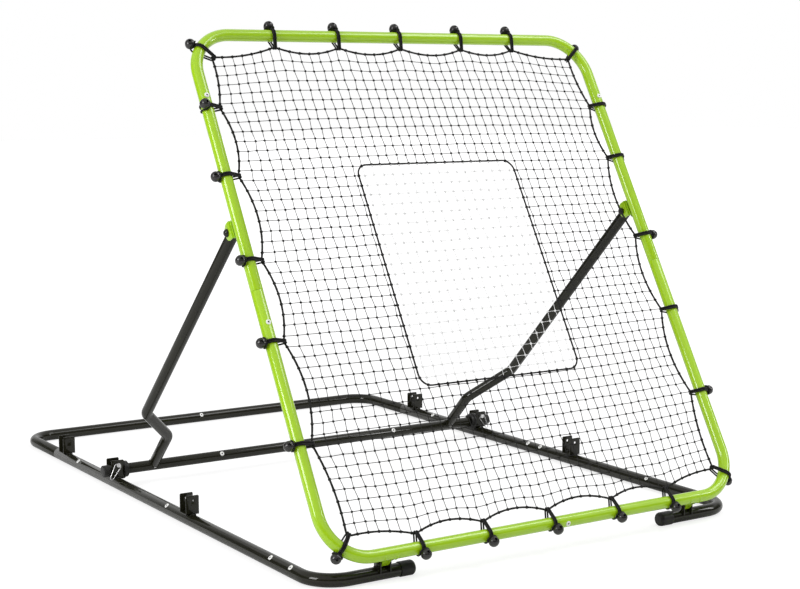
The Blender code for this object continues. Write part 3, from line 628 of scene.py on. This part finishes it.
lower = [on_net(-HALF_FRAME, FRAME_SEAM), on_net(-HALF_FRAME, 0)]
lower += [on_net(HALF_FRAME, 0), on_net(HALF_FRAME, FRAME_SEAM)]
lower_frame = bent_tube("lower_frame", lower, FRAME_BEND, FRAME_TUBE, 40, 20)
pieces = [lower_frame]
for sign, name in SIDES:
    x = sign * HINGE_X
    pieces.append(flared_lug(f"{name}_hinge_lug", x))
    for edge in (-1, 1):
        middle = RAIL + ACROSS_X * (x + edge * 0.0158)
        pieces.append(arc_weld(f"{name}_hinge_weld", middle, BACK, UP, FRAME_TUBE,
                               turns=(-150, -50), steps=12, radius=0.0016, swell=(0.9, 1.15)))
place_on(joined(*pieces), "net_frame", LIME, "green_paint", "frame_lower_tube")

# The pivot lugs: two ears with a web between them, welded behind the side tubes
LUG_HALF = STRUT_TUBE + GAP
LUG_TALL = 0.022
LUG_WALL = 0.002
for sign, name in SIDES:
    x = sign * HALF_FRAME
    near, far = 0.0153, 0.0445
    ear = [(near, LUG_TALL), (far, LUG_TALL), (far, -LUG_TALL), (near, -LUG_TALL)]
    ear = [cornered(ear, (0, 0.0172, 0.0172, 0)), ring_outline(0.0043, (PIVOT_BACK, 0))]
    pieces = []
    for edge in (-1, 1):
        at = on_net(x + edge * (LUG_HALF + LUG_WALL / 2), PIVOT_UP)
        pieces.append(plate(f"{name}_lug_plate", ear, LUG_WALL, basis(BACK, UP, at)))
    wide = LUG_HALF + LUG_WALL / 2
    web = [(-wide, LUG_TALL), (wide, LUG_TALL), (wide, -LUG_TALL), (-wide, -LUG_TALL)]
    at = on_net(x, PIVOT_UP, 0.0163)
    pieces.append(plate(f"{name}_lug_web", [web], LUG_WALL, basis(ACROSS_X, UP, at)))
    for edge in (-1, 1):
        bead = [on_net(x + edge * 0.0125, PIVOT_UP + LUG_TALL * (step / 8 - 1), 0.0133) for step in range(17)]
        pieces.append(wire(f"{name}_lug_weld", [bead], 0.0017, swell=(0.85, 1.15)))
    place_on(joined(*pieces), "net_frame", LIME, "green_paint", f"pivot_lug_{name}")


def bolt(name, radius, head, grip, at, sign, body, node):
    """A black bolt, lying across: a domed head on the outer side and a lock nut on the inner one."""
    outer = grip + 0.0003
    tall = head * 0.8
    end = -outer - tall
    out = ACROSS_X * sign
    dome = [(0.0, outer + tall), (head * 0.55, outer + tall * 0.92), (head * 0.9, outer + tall * 0.5),
            (head, outer + tall * 0.2), (head, outer), (radius, outer), (radius, end), (0.0, end)]
    pieces = [lathe(f"{name}_shank", dome, at, out, head * 0.12, 32)]
    wide = head * 0.95
    nut_end = -outer - tall * 0.95
    nut = [(0.0, nut_end), (wide * 0.8, nut_end), (wide, -outer - tall * 0.75), (wide, -outer), (0.0, -outer)]
    pieces.append(lathe(f"{name}_nut", nut, at, out, 0.0002, 6, spin=0.4))
    place_on(joined(*pieces), body, BLACK, "black_paint", node)


for sign, name in SIDES:
    at = PIVOT + ACROSS_X * sign * HALF_FRAME
    bolt(f"{name}_pivot", 0.004, 0.0100, LUG_HALF + LUG_WALL, at, sign, "net_frame", f"pivot_bolt_{name}")

# The stand: side rails, rear tube, struts and crossbar

rear = [(-HALF_BASE, SEAM_Y, BASE_TUBE), (-HALF_BASE, REAR_Y, BASE_TUBE)]
rear += [(HALF_BASE, REAR_Y, BASE_TUBE), (HALF_BASE, SEAM_Y, BASE_TUBE)]
rear_tube = bent_tube("rear_tube", rear, BASE_BEND, BASE_TUBE, 40)
place_on(rear_tube, "base", BLACK, "black_paint", "base_rear_tube")

# The bore of the crossbar's collars and caps
BAR_BORE = 0.0153
for sign, name in SIDES:
    rail = [(sign * HALF_BASE, SEAM_Y - 0.0003, BASE_TUBE), (sign * HALF_BASE, FRONT_Y, BASE_TUBE)]
    rail.append((sign * (FRONT_RUN_END + 0.0083), FRONT_Y, BASE_TUBE))
    rail = bent_tube(f"{name}_rail", rail, BASE_BEND, BASE_TUBE, 40)
    place_on(rail, "base", BLACK, "black_paint", f"base_{name}_rail")

    # The sleeve cap on the rail's front end, flat where it stands on the floor
    inner, outer, end, long = 0.01662, 0.01782, 0.0085, 0.040
    sleeve = [(0.0, 0.0), (outer - end, 0.0)]
    for step in range(1, 11):
        turn = math.radians(9 * step)
        sleeve.append((outer - end * (1 - math.sin(turn)), -end * (1 - math.cos(turn))))
    sleeve += [(outer, -long + 0.0005), (outer - 0.0006, -long), (inner, -long)]
    sleeve += [(inner, -0.010), (0.0, -0.010)]
    at = (sign * FRONT_RUN_END, FRONT_Y, BASE_TUBE)
    cap = lathe(f"{name}_end_cap", sleeve, at, (-sign, 0, 0), 0.0003, 44)
    for vert in cap.data.vertices:
        vert.co.z = max(vert.co.z, 0.0)
    place_on(cap, "base", PLASTIC, "black_plastic", f"base_{name}_end_cap")

    # A strut, and the weld where its coped foot meets the crossbar
    pivot = PIVOT + ACROSS_X * sign * HALF_FRAME
    foot = PIVOT + ACROSS_X * sign * (HALF_FRAME - STRUT_INSET)
    route = [pivot - DOWN * 0.0065, pivot + DOWN * 0.741, foot + DOWN * 0.866]
    route.append(foot + DOWN * (PROP_LENGTH - BAR_TUBE * 0.55))
    strut = bent_tube(f"{name}_strut", route, 0.035, STRUT_TUBE, 36, 10)
    aft = DOWN.cross(ACROSS_X)
    bead = []
    for step in range(40):
        turn = math.tau * step / 40
        drop = math.sqrt(max(0.0, (BAR_TUBE + 0.0004) ** 2 - (STRUT_TUBE * math.sin(turn)) ** 2))
        spoke = (ACROSS_X * math.cos(turn) + aft * math.sin(turn)) * STRUT_TUBE
        bead.append(foot + DOWN * (PROP_LENGTH - drop) + spoke)
    weld = wire(f"{name}_foot_weld", [bead], 0.0017, closed=True, swell=(0.85, 1.15))
    place_on(joined(strut, weld), "prop_frame", BLACK, "black_paint", f"strut_{name}")

    # The collar inside the cradle and the cap outside it
    flange, hub, deep = 0.0262, 0.0225, 0.015
    ring = [(BAR_BORE, 0.0), (flange, 0.0), (flange, -0.0052), (hub, -0.0062), (hub, -deep),
            (BAR_BORE, -deep)]
    at = BAR + ACROSS_X * sign * (HALF_BASE - CRADLE_HALF - GAP)
    collar = lathe(f"{name}_collar", ring, at, (sign, 0, 0), 0.0012, 48, ring=True)
    place_on(collar, "prop_frame", PLASTIC, "black_plastic", f"crossbar_collar_{name}")
    outer, lip = 0.0165, 0.0169
    stop = [(0.0, 0.0), (outer, 0.0), (outer, -0.0155), (lip, -0.0160), (lip, -CAP_LENGTH),
            (BAR_BORE, -CAP_LENGTH), (BAR_BORE, -0.0025), (0.0, -0.0025)]
    stop = lathe(f"{name}_bar_cap", stop, BAR + ACROSS_X * sign * BAR_TIP, (sign, 0, 0), 0.0028, 44)
    place_on(stop, "prop_frame", PLASTIC, "black_plastic", f"crossbar_cap_{name}")

bar_end = ACROSS_X * (BAR_TIP - 0.0028)
bar = bent_tube("crossbar_tube", [BAR - bar_end, BAR + bar_end], 0, BAR_TUBE, 40)
place_on(bar, "prop_frame", BLACK, "black_paint", "crossbar")

# Blind rivets at the tubes' joints, each a flat dome with the hole left by its pulled mandrel, and a black
# disc down in that hole as its painted shade


def rivets(name, body, places):
    """Rivets at these places, each on a tube's middle line, with the way out and the tube's radius."""
    head = [(0.0, 0.0002), (0.0022, 0.0002), (0.0024, 0.0015), (0.0044, 0.0014), (0.0064, 0.0007),
            (0.0064, -0.0010), (0.0, -0.0010)]
    # The black disc set down in each rivet's hole is painted shade, standing for the dark of the hole
    hole_shade = [(0.0, 0.0012), (0.0018, 0.0010), (0.0020, 0.0004), (0.0, 0.0004)]
    for part, profile, look, slot in (("heads", head, ALLOY, "zinc"), ("hole_shades", hole_shade, BLACK, "black_paint")):
        pieces = []
        for middle, out, radius in places:
            out = Vector(out).normalized()
            pieces.append(lathe(f"{name}_{part}", profile, middle + out * radius, out, 0.0004, 20))
        place_on(joined(*pieces), body, look, slot)


on_frame = ((-1, 1.163), (-1, 0.570), (1, 1.154))
frame_places = [(on_net(sign * HALF_FRAME, up), -BACK, FRAME_TUBE) for sign, up in on_frame]
frame_places.append((on_net(0.0445, 0), -BACK * 0.75 - UP * 0.66, FRAME_TUBE))
rivets("frame_rivets", "net_frame", frame_places)

# Those of both rails face up and to the left, those of the cross tubes face the front
SLOPE = (-math.cos(math.radians(50)), 0.0, math.sin(math.radians(50)))
FRONT_SLOPE = (0, -0.83, 0.56)
on_rails = ((-1, (0.494, -0.113, -0.677, -0.772)), (1, (0.484, -0.033, -0.093, -0.571)))
base_places = [(Vector((sign * HALF_BASE, along, BASE_TUBE)), SLOPE, BASE_TUBE)
               for sign, alongs in on_rails for along in alongs]
base_places.append((Vector((-0.022, REAR_Y, BASE_TUBE)), FRONT_SLOPE, BASE_TUBE))
rivets("base_rivets", "base", base_places)
bar_places = [(BAR + ACROSS_X * x, FRONT_SLOPE, BAR_TUBE) for x in (-0.292, 0.292)]
bar_places += [(BAR + ACROSS_X * x, (0, -1, 0.02), BAR_TUBE) for x in (-0.502, 0.502)]
rivets("prop_rivets", "prop_frame", bar_places)

# Cradles, hinge brackets, lock pins and their rings

for sign, name in SIDES:
    for place, along in CRADLES.items():
        base_z = 2 * BASE_TUBE + 0.0003
        tall = WALL + 0.0003 + 2 * BAR_TUBE + 0.0165
        ear = [(-CRADLE_HALF, 0.0), (CRADLE_HALF, 0.0), (CRADLE_HALF, tall), (-CRADLE_HALF, tall)]
        ear = cornered(ear, (0, 0, 0.0035, 0.0035))
        hole = ring_outline(PIN_HOLE, (0, PIN_Z - base_z))
        pieces = []
        for edge in (-1, 1):
            at = (sign * HALF_BASE, along + edge * (SLOT + WALL / 2), base_z)
            pieces.append(plate(f"{place}_{name}_ear", [ear, hole], WALL, basis(ACROSS_X, UP_Z, at)))
        deep = SLOT + WALL
        seat = [(-CRADLE_HALF, -deep), (CRADLE_HALF, -deep), (CRADLE_HALF, deep), (-CRADLE_HALF, deep)]
        at = (sign * HALF_BASE, along, base_z + WALL / 2)
        pieces.append(plate(f"{place}_{name}_seat", [seat], WALL, basis(ACROSS_X, ALONG_Y, at)))
        for edge in (-1, 1):
            middle = Vector((sign * HALF_BASE, along + edge * (deep + GAP), BASE_TUBE))
            pieces.append(arc_weld(f"{place}_{name}_weld", middle, ACROSS_X, UP_Z, BASE_TUBE + 0.0002,
                                   turns=(56, 124), steps=10, radius=0.0018, swell=(0.85, 1.2)))
        place_on(joined(*pieces), "base", BLACK, "black_paint", f"cradle_{place}_{name}")

    # The hinge bracket: two ears and a back, coped over the front run
    x = sign * HINGE_X
    half, thick = 0.0116, 0.003
    low, high = BASE_TUBE + 0.004 - HINGE.z, 0.010
    front, rear_edge = -0.010, 0.0185
    profile = [(front, low), (rear_edge, low), (rear_edge, high), (front, high)]
    profile = cornered(profile, (0, 0, 0.0045, 0.0060))
    pieces = []
    for edge in (-1, 1):
        at = (x + edge * (half + thick / 2), HINGE.y, HINGE.z)
        pieces.append(plate(f"{name}_bracket_ear", [profile], thick, basis(ALONG_Y, UP_Z, at)))
    wide, top_edge = half + 0.002, high - 0.001
    back = [(-wide, low), (wide, low), (wide, top_edge), (-wide, top_edge)]
    at = (x, HINGE.y + rear_edge - thick / 2, HINGE.z)
    pieces.append(plate(f"{name}_bracket_back", [back], thick, basis(ACROSS_X, UP_Z, at)))
    for edge in (-1, 1):
        middle = Vector((x + edge * (half + thick + GAP), FRONT_Y, BASE_TUBE))
        pieces.append(arc_weld(f"{name}_bracket_weld", middle, ALONG_Y, UP_Z, BASE_TUBE + 0.0002,
                               turns=(60, 150), steps=14, radius=0.0016, swell=(0.85, 1.2)))
    place_on(joined(*pieces), "base", BLACK, "black_paint", f"hinge_bracket_{name}")
    at = Vector((x, HINGE.y, HINGE.z))
    bolt(f"{name}_hinge", 0.003, 0.0055, half + thick, at, sign, "base", f"hinge_bolt_{name}")

    # The lock pin, its head grooved for the ring, and the pear shaped ring
    x = sign * HALF_BASE
    head = SLOT + WALL + 0.0003
    tail = -SLOT - WALL - 0.007
    pin = [(0.0, head + 0.009), (0.0060, head + 0.009), (0.0060, head + 0.0012), (0.0052, head + 0.0009),
           (0.0052, head), (0.003, head), (0.003, tail + 0.0015), (0.0015, tail), (0.0, tail)]
    pin = lathe(f"{name}_pin", pin, (x, BAR.y, PIN_Z), (0, -1, 0), 0.0012, 36)
    place_on(pin, f"lock_pin_{name}", ZINC, "zinc", f"lock_pin_{name}")
    hang = Matrix.Rotation(-sign * math.radians(30), 3, "Y")
    ring_at = Vector((x, BAR.y - head - 0.0045, PIN_Z))
    link = [(-0.0063, 0, 0), (0.0063, 0, 0), (0.0084, 0, -0.0009), (0.0090, 0, -0.0027), (0.0088, 0, -0.0055)]
    link += [(0.009 - 0.004 * share, 0, -0.0027 - 0.0363 * share) for share in (0.15, 0.3, 0.5, 0.7, 0.9)]
    link += [(0.005 * math.cos(turn), 0, -0.039 - 0.005 * math.sin(turn))
             for turn in (math.pi * step / 12 for step in range(13))]
    link += [(-px, 0, pz) for px, _, pz in link[9:1:-1]]
    loop = wire(f"{name}_ring", [[ring_at + hang @ Vector(point) for point in link]], 0.0011, 3, closed=True)
    place_on(loop, f"pin_ring_{name}", ZINC, "zinc", f"pin_ring_{name}")


# The net


def tie_places():
    """Every tie, clockwise from the top left corner: its name, place, outward way and ball's turn."""
    corners = {"top_left": (-1, 1), "top_right": (1, 1), "bottom_right": (1, -1), "bottom_left": (-1, -1)}
    order = (("top_left", "top"), ("top_right", "right"), ("bottom_right", "bottom"), ("bottom_left", "left"))
    places = []
    for index, (corner, edge) in enumerate(order):
        across, upward = corners[corner]
        turn = math.radians(CORNER_TURNS[corner])
        outward = np.array((across * math.cos(turn), upward * math.sin(turn)))
        middle_up = FRAME_HEIGHT - FRAME_BEND if upward > 0 else FRAME_BEND
        centre = np.array((across * (HALF_FRAME - FRAME_BEND), middle_up))
        places.append((corner, centre + outward * FRAME_BEND, outward, BALL_TURNS["corner"][index]))
        for number, share in enumerate(TIES[edge], 1):
            if edge in ("top", "bottom"):
                sign = 1 if edge == "top" else -1
                at = np.array((sign * HALF_FRAME * (2 * share - 1), FRAME_HEIGHT if sign > 0 else 0.0))
                outward = np.array((0.0, sign))
            else:
                sign = 1 if edge == "right" else -1
                at = np.array((sign * HALF_FRAME, FRAME_HEIGHT * (0.5 - sign * (share - 0.5))))
                outward = np.array((sign, 0.0))
            places.append((f"{edge}_{number}", at, outward, BALL_TURNS[edge][number - 1]))
    return places


def scallop(start, end, share, depth):
    """A point of the edge cord between two ties, drawn in towards the middle of the net."""
    span = end - start
    length = np.hypot(*span)
    inward = np.array((-span[1], span[0])) / length
    if inward @ (np.array((0.0, FRAME_HEIGHT / 2)) - start) < 0:
        inward = -inward
    return start + span * share + inward * depth * length * 4 * share * (1 - share)


# Where the ties pull the edge cord, and how deep it hangs in between: less beside a corner tie
places = tie_places()
pulls = [at - outward * TIE_REACH for _, at, outward, _ in places]
depths = []
for index, (name, _, _, _) in enumerate(places):
    after = places[(index + 1) % len(places)][0]
    depths.append(0.05 if not name[-1].isdigit() or not after[-1].isdigit() else 0.10)


def edge_side(first, rows, count):
    """The net's outermost knots along one side, from corner to corner, at whole numbers of meshes."""
    marks = [0.0, *rows, float(count)]
    knots = []
    for mesh in range(count + 1):
        span = min(max(i for i, mark in enumerate(marks) if mark <= mesh), 5)
        share = (mesh - marks[span]) / (marks[span + 1] - marks[span])
        start = pulls[(first + span) % 24]
        end = pulls[(first + span + 1) % 24]
        knots.append(scallop(start, end, share, depths[(first + span) % 24]))
    return np.array(knots)


def even_rows(first, count, axis):
    low, high = pulls[first % 24][axis], pulls[(first + 6) % 24][axis]
    return [count * (pulls[(first + i) % 24][axis] - low) / (high - low) for i in range(1, 6)]


top_knots = edge_side(0, even_rows(0, ACROSS, 0), ACROSS)
right_knots = edge_side(6, even_rows(6, UPWARD, 1), UPWARD)[::-1]
bottom_knots = edge_side(12, even_rows(12, ACROSS, 0), ACROSS)[::-1]
left_knots = edge_side(18, LEFT_ROWS, UPWARD)

# The knots inside lie where their four neighbours' pulls balance, with a slight zigzag and unevenness
knots = np.zeros((ACROSS + 1, UPWARD + 1, 2))
knots[0] = left_knots
knots[-1] = right_knots
knots[:, 0] = bottom_knots
knots[:, -1] = top_knots
inner = (ACROSS - 1) * (UPWARD - 1)
pull = np.zeros((inner, inner))
load = np.zeros((inner, 2))


def slot_of(i, j):
    return (i - 1) * (UPWARD - 1) + j - 1


for i in range(1, ACROSS):
    for j in range(1, UPWARD):
        here = slot_of(i, j)
        for di, dj in ((1, 0), (-1, 0), (0, 1), (0, -1)):
            pull[here, here] += 1.0
            if 0 < i + di < ACROSS and 0 < j + dj < UPWARD:
                pull[here, slot_of(i + di, j + dj)] -= 1.0
            else:
                load[here] += knots[i + di, j + dj]
knots[1:-1, 1:-1] = np.linalg.solve(pull, load).reshape(ACROSS - 1, UPWARD - 1, 2)
rng = np.random.default_rng(7)
sway = (np.indices((ACROSS - 1, UPWARD - 1)).sum(0) % 2) * 2 - 1
knots[1:-1, 1:-1, 0] += 0.0012 * sway
knots[1:-1, 1:-1] += rng.normal(0, 0.0005, (ACROSS - 1, UPWARD - 1, 2))


def in_zone(point):
    """Above 0 inside the strike zone's rounded outline, below 0 outside it."""
    centre = ((ZONE_LEFT + ZONE_RIGHT) / 2, (ZONE_LOW + ZONE_HIGH) / 2)
    away_x = abs(point[0] - centre[0]) - ((ZONE_RIGHT - ZONE_LEFT) / 2 - ZONE_CORNER)
    away_y = abs(point[1] - centre[1]) - ((ZONE_HIGH - ZONE_LOW) / 2 - ZONE_CORNER)
    outside = math.hypot(max(away_x, 0.0), max(away_y, 0.0)) + min(max(away_x, away_y), 0.0)
    return ZONE_CORNER - outside


crossings = []


def strands(lines):
    """Splits each line of knots where it crosses the zone's border: black outside, white inside."""
    black, white_runs = [], []
    for line in lines:
        run = [line[0]]
        inside = in_zone(line[0]) > 0
        for start, end in zip(line, line[1:]):
            if (in_zone(end) > 0) != inside:
                low, high = 0.0, 1.0
                for _ in range(12):
                    middle = (low + high) / 2
                    if (in_zone(start + (end - start) * middle) > 0) == inside:
                        low = middle
                    else:
                        high = middle
                cross = start + (end - start) * low
                crossings.append((cross[0], cross[1], 0.0))
                run.append(cross)
                (white_runs if inside else black).append(run)
                run = [cross]
                inside = not inside
            run.append(end)
        (white_runs if inside else black).append(run)
    return black, white_runs


def laid(runs):
    return [[on_net(point[0], point[1]) for point in run] for run in runs]


def scattered(name, template, spots, turns):
    """Copies of one small shape at many places, as one mesh."""
    corners = np.array([v.co for v in template.data.vertices])
    faces = [tuple(f.vertices) for f in template.data.polygons]
    points, polygons = [], []
    for spot, turn in zip(spots, turns):
        frame_turn = Matrix((Vector((1, 0, 0)), UP, -BACK)).transposed() @ Matrix.Rotation(turn, 3, "Z")
        shift = on_net(*spot)
        first = len(points)
        points += [frame_turn @ Vector(corner) + shift for corner in corners]
        polygons += [tuple(first + index for index in face) for face in faces]
    mesh = bpy.data.meshes.new(name)
    mesh.from_pydata(points, [], polygons)
    return linked(name, mesh)


def lump(name, across, upward, deep):
    deselect()
    bpy.ops.mesh.primitive_uv_sphere_add(segments=6, ring_count=4, radius=1.0)
    made = named(name)
    bpy.ops.transform.resize(value=(across, upward, deep))
    bpy.ops.object.transform_apply(location=True, rotation=True, scale=True)
    return made


# Half the thickness of each twine and cord
STRAND = 0.00085
ZONE_STRAND, ZONE_STRAND_ACROSS = 0.0007, 0.0006
EDGE_CORD = 0.0025
ZONE_CORD = 0.0022
black_columns, white_columns = strands([knots[i] for i in range(1, ACROSS)])
black_rows, white_rows = strands([knots[:, j] for j in range(1, UPWARD)])
net_strands = wire("net_twine", laid(black_columns), STRAND, 1)
net_rows = wire("net_twine_across", laid(black_rows), STRAND, 1)
zone_columns = wire("zone_twine", laid(white_columns), ZONE_STRAND, 1)
zone_rows = wire("zone_twine_across", laid(white_rows), ZONE_STRAND_ACROSS, 1)

knot = lump("knot", 0.0036, 0.0032, 0.0026)
black_spots, white_spots = [], []
for i in range(1, ACROSS):
    for j in range(1, UPWARD):
        spot = (knots[i, j, 0], knots[i, j, 1], 0.0)
        (white_spots if in_zone(knots[i, j]) > 0 else black_spots).append(spot)
net_knots = scattered("net_knots", knot, black_spots, rng.uniform(-0.6, 0.6, len(black_spots)))
zone_knots = scattered("zone_knots", knot, white_spots, rng.uniform(-0.6, 0.6, len(white_spots)))

hitch = lump("hitch", 0.0046, 0.0042, 0.0038)
edge_lines = (top_knots, bottom_knots, left_knots, right_knots)
edge_spots = [(*point, 0.0) for line in edge_lines for point in line[1:-1]]
edge_hitches = scattered("edge_hitches", hitch, edge_spots, rng.uniform(-0.8, 0.8, len(edge_spots)))
zone_hitches = scattered("zone_hitches", hitch, crossings, rng.uniform(-0.8, 0.8, len(crossings)))

edge_run = []
for index in range(24):
    for step in range(14):
        edge_run.append(scallop(pulls[index], pulls[(index + 1) % 24], step / 14, depths[index]))
edge_cord = wire("edge_cord", laid([edge_run]), EDGE_CORD, 2, closed=True, swell=(0.94, 1.06, 1.0))
border = []
for quarter, (sx, sy) in enumerate(((1, 1), (-1, 1), (-1, -1), (1, -1))):
    cx = sx * (ZONE_RIGHT - ZONE_CORNER)
    cy = (ZONE_LOW + ZONE_HIGH) / 2 + sy * ((ZONE_HIGH - ZONE_LOW) / 2 - ZONE_CORNER)
    for step in range(9):
        angle = math.radians(90) * (quarter + step / 8)
        border.append((cx + ZONE_CORNER * math.cos(angle), cy + ZONE_CORNER * math.sin(angle)))
zone_border = wire("zone_border", laid([border]), ZONE_CORD, 2, closed=True)

place_on(joined(net_strands, net_rows, net_knots), "net_frame", BLACK_TWINE, "black_twine", "net")
place_on(joined(zone_columns, zone_rows, zone_knots), "net_frame", WHITE_TWINE, "white_twine", "zone_net")
place_on(joined(edge_cord, edge_hitches), "net_frame", BLACK_TWINE, "black_twine", "net_edge_cord")
place_on(joined(zone_border, zone_hitches), "net_frame", BLACK_TWINE, "black_twine", "zone_cord")
bpy.data.objects.remove(knot)
bpy.data.objects.remove(hitch)

# Elastic ties: a doubled cord over the front of the tube, and its loop back round the ball. The ball has a
# bored dimple and stands between a round one and a square one.

SQUARENESS = 2.4
profile = [(0.0, 0.0055), (0.0030, 0.0058), (0.0034, 0.0118), (0.0042, 0.0127)]
for step in range(1, 12):
    turn = math.radians(70 - 160 * step / 11)
    bulge = (abs(math.cos(turn)) ** SQUARENESS + abs(math.sin(turn)) ** SQUARENESS) ** (-1 / SQUARENESS)
    profile.append((max(0.0, TIE_BALL * bulge * math.cos(turn)), TIE_BALL * bulge * math.sin(turn)))
profile[-1] = (0.0, -TIE_BALL)
ball = lathe("ball", profile, (0, 0, 0), (0, 0, 1), 0.0005, 24)


def tie(name, at, outward, turn):
    """One tie, drawn in the plane across its tube: outward from the net, and towards the front."""
    origin = on_net(*at)
    out = Vector((outward[0], 0, 0)) + UP * outward[1]
    front = -BACK
    along = out.cross(front)

    def spot(point, aside_by=0.0):
        return origin + out * point[0] + front * point[1] + along * aside_by

    def on_circle(radius, turn):
        return (radius * math.cos(turn), radius * math.sin(turn))

    def arc(centre, radius, first, last, count):
        turns = [first + (last - first) * i / count for i in range(count + 1)]
        return [(centre + radius * math.cos(turn), radius * math.sin(turn)) for turn in turns]

    # How far in front of and behind the net's plane the cord passes the edge cord, and where the ball sits
    grip = 0.0024 if name[-1].isdigit() else 0.0060
    head = math.radians(turn)
    thick, thin = 0.0027, 0.0021
    runs = []
    lean = math.asin((FRAME_TUBE - grip) / TIE_REACH)
    for aside_by in (-0.0030, 0.0030):
        path = arc(-TIE_REACH, grip + thick, math.pi, math.pi / 2 + lean, 4)
        path += arc(0.0, FRAME_TUBE + thick, math.pi / 2 + lean, head + 0.5, 8)
        run = [spot(point, aside_by * (0.85 if i > 3 else 1.0)) for i, point in enumerate(path)]
        runs.append(run + [spot(on_circle(FRAME_TUBE + 0.007, head + 0.16), aside_by * 0.7)])
    belts = wire(f"{name}_belts", runs, thick, 3, swell=(0.93, 1.05))

    # The loop: from the edge cord behind the tube, round both flanks of the ball's neck, and over its front
    middle = on_circle(FRAME_TUBE + 0.0003 + TIE_BALL, head)
    neck = on_circle(FRAME_TUBE + 0.0052, head)
    over = (-math.sin(head) * 0.97 + math.cos(head) * 0.1, math.cos(head) * 0.97 + math.sin(head) * 0.1)
    reach = TIE_BALL * 0.96
    half = []
    behind = arc(-TIE_REACH, grip + thin, -math.pi, -math.pi / 2 - lean, 4)
    behind += arc(0.0, FRAME_TUBE + thin, -math.pi / 2 - lean, head - 0.75, 7)
    for i, point in enumerate(behind):
        half.append((point, 0.0026 + 0.0052 * (i / (len(behind) - 1)) ** 2))
    for step in range(1, 9):
        lap = math.radians(-38 + 128 * step / 8)
        ahead = reach * math.sin(lap)
        half.append(((neck[0] + over[0] * ahead, neck[1] + over[1] * ahead), reach * math.cos(lap)))
    loop = [spot(point, aside_by) for point, aside_by in half]
    loop += [spot(point, -aside_by) for point, aside_by in half[-2::-1]]
    loop = wire(f"{name}_loop", [loop], thin, 2)

    mine = linked(f"{name}_ball", ball.data.copy())
    bore = min(head + math.radians(62), math.radians(100))
    heading = out * math.cos(bore) + front * math.sin(bore)
    mine.matrix_world = basis(along, heading.cross(along), spot(middle))
    place_on(settle(mine), "net_frame", BALL, "black_elastic", angle=50)
    place_on(joined(belts, loop), "net_frame", ELASTIC, "black_elastic", f"tie_{name}", angle=50)


for place in places:
    tie(*place)
bpy.data.objects.remove(ball)
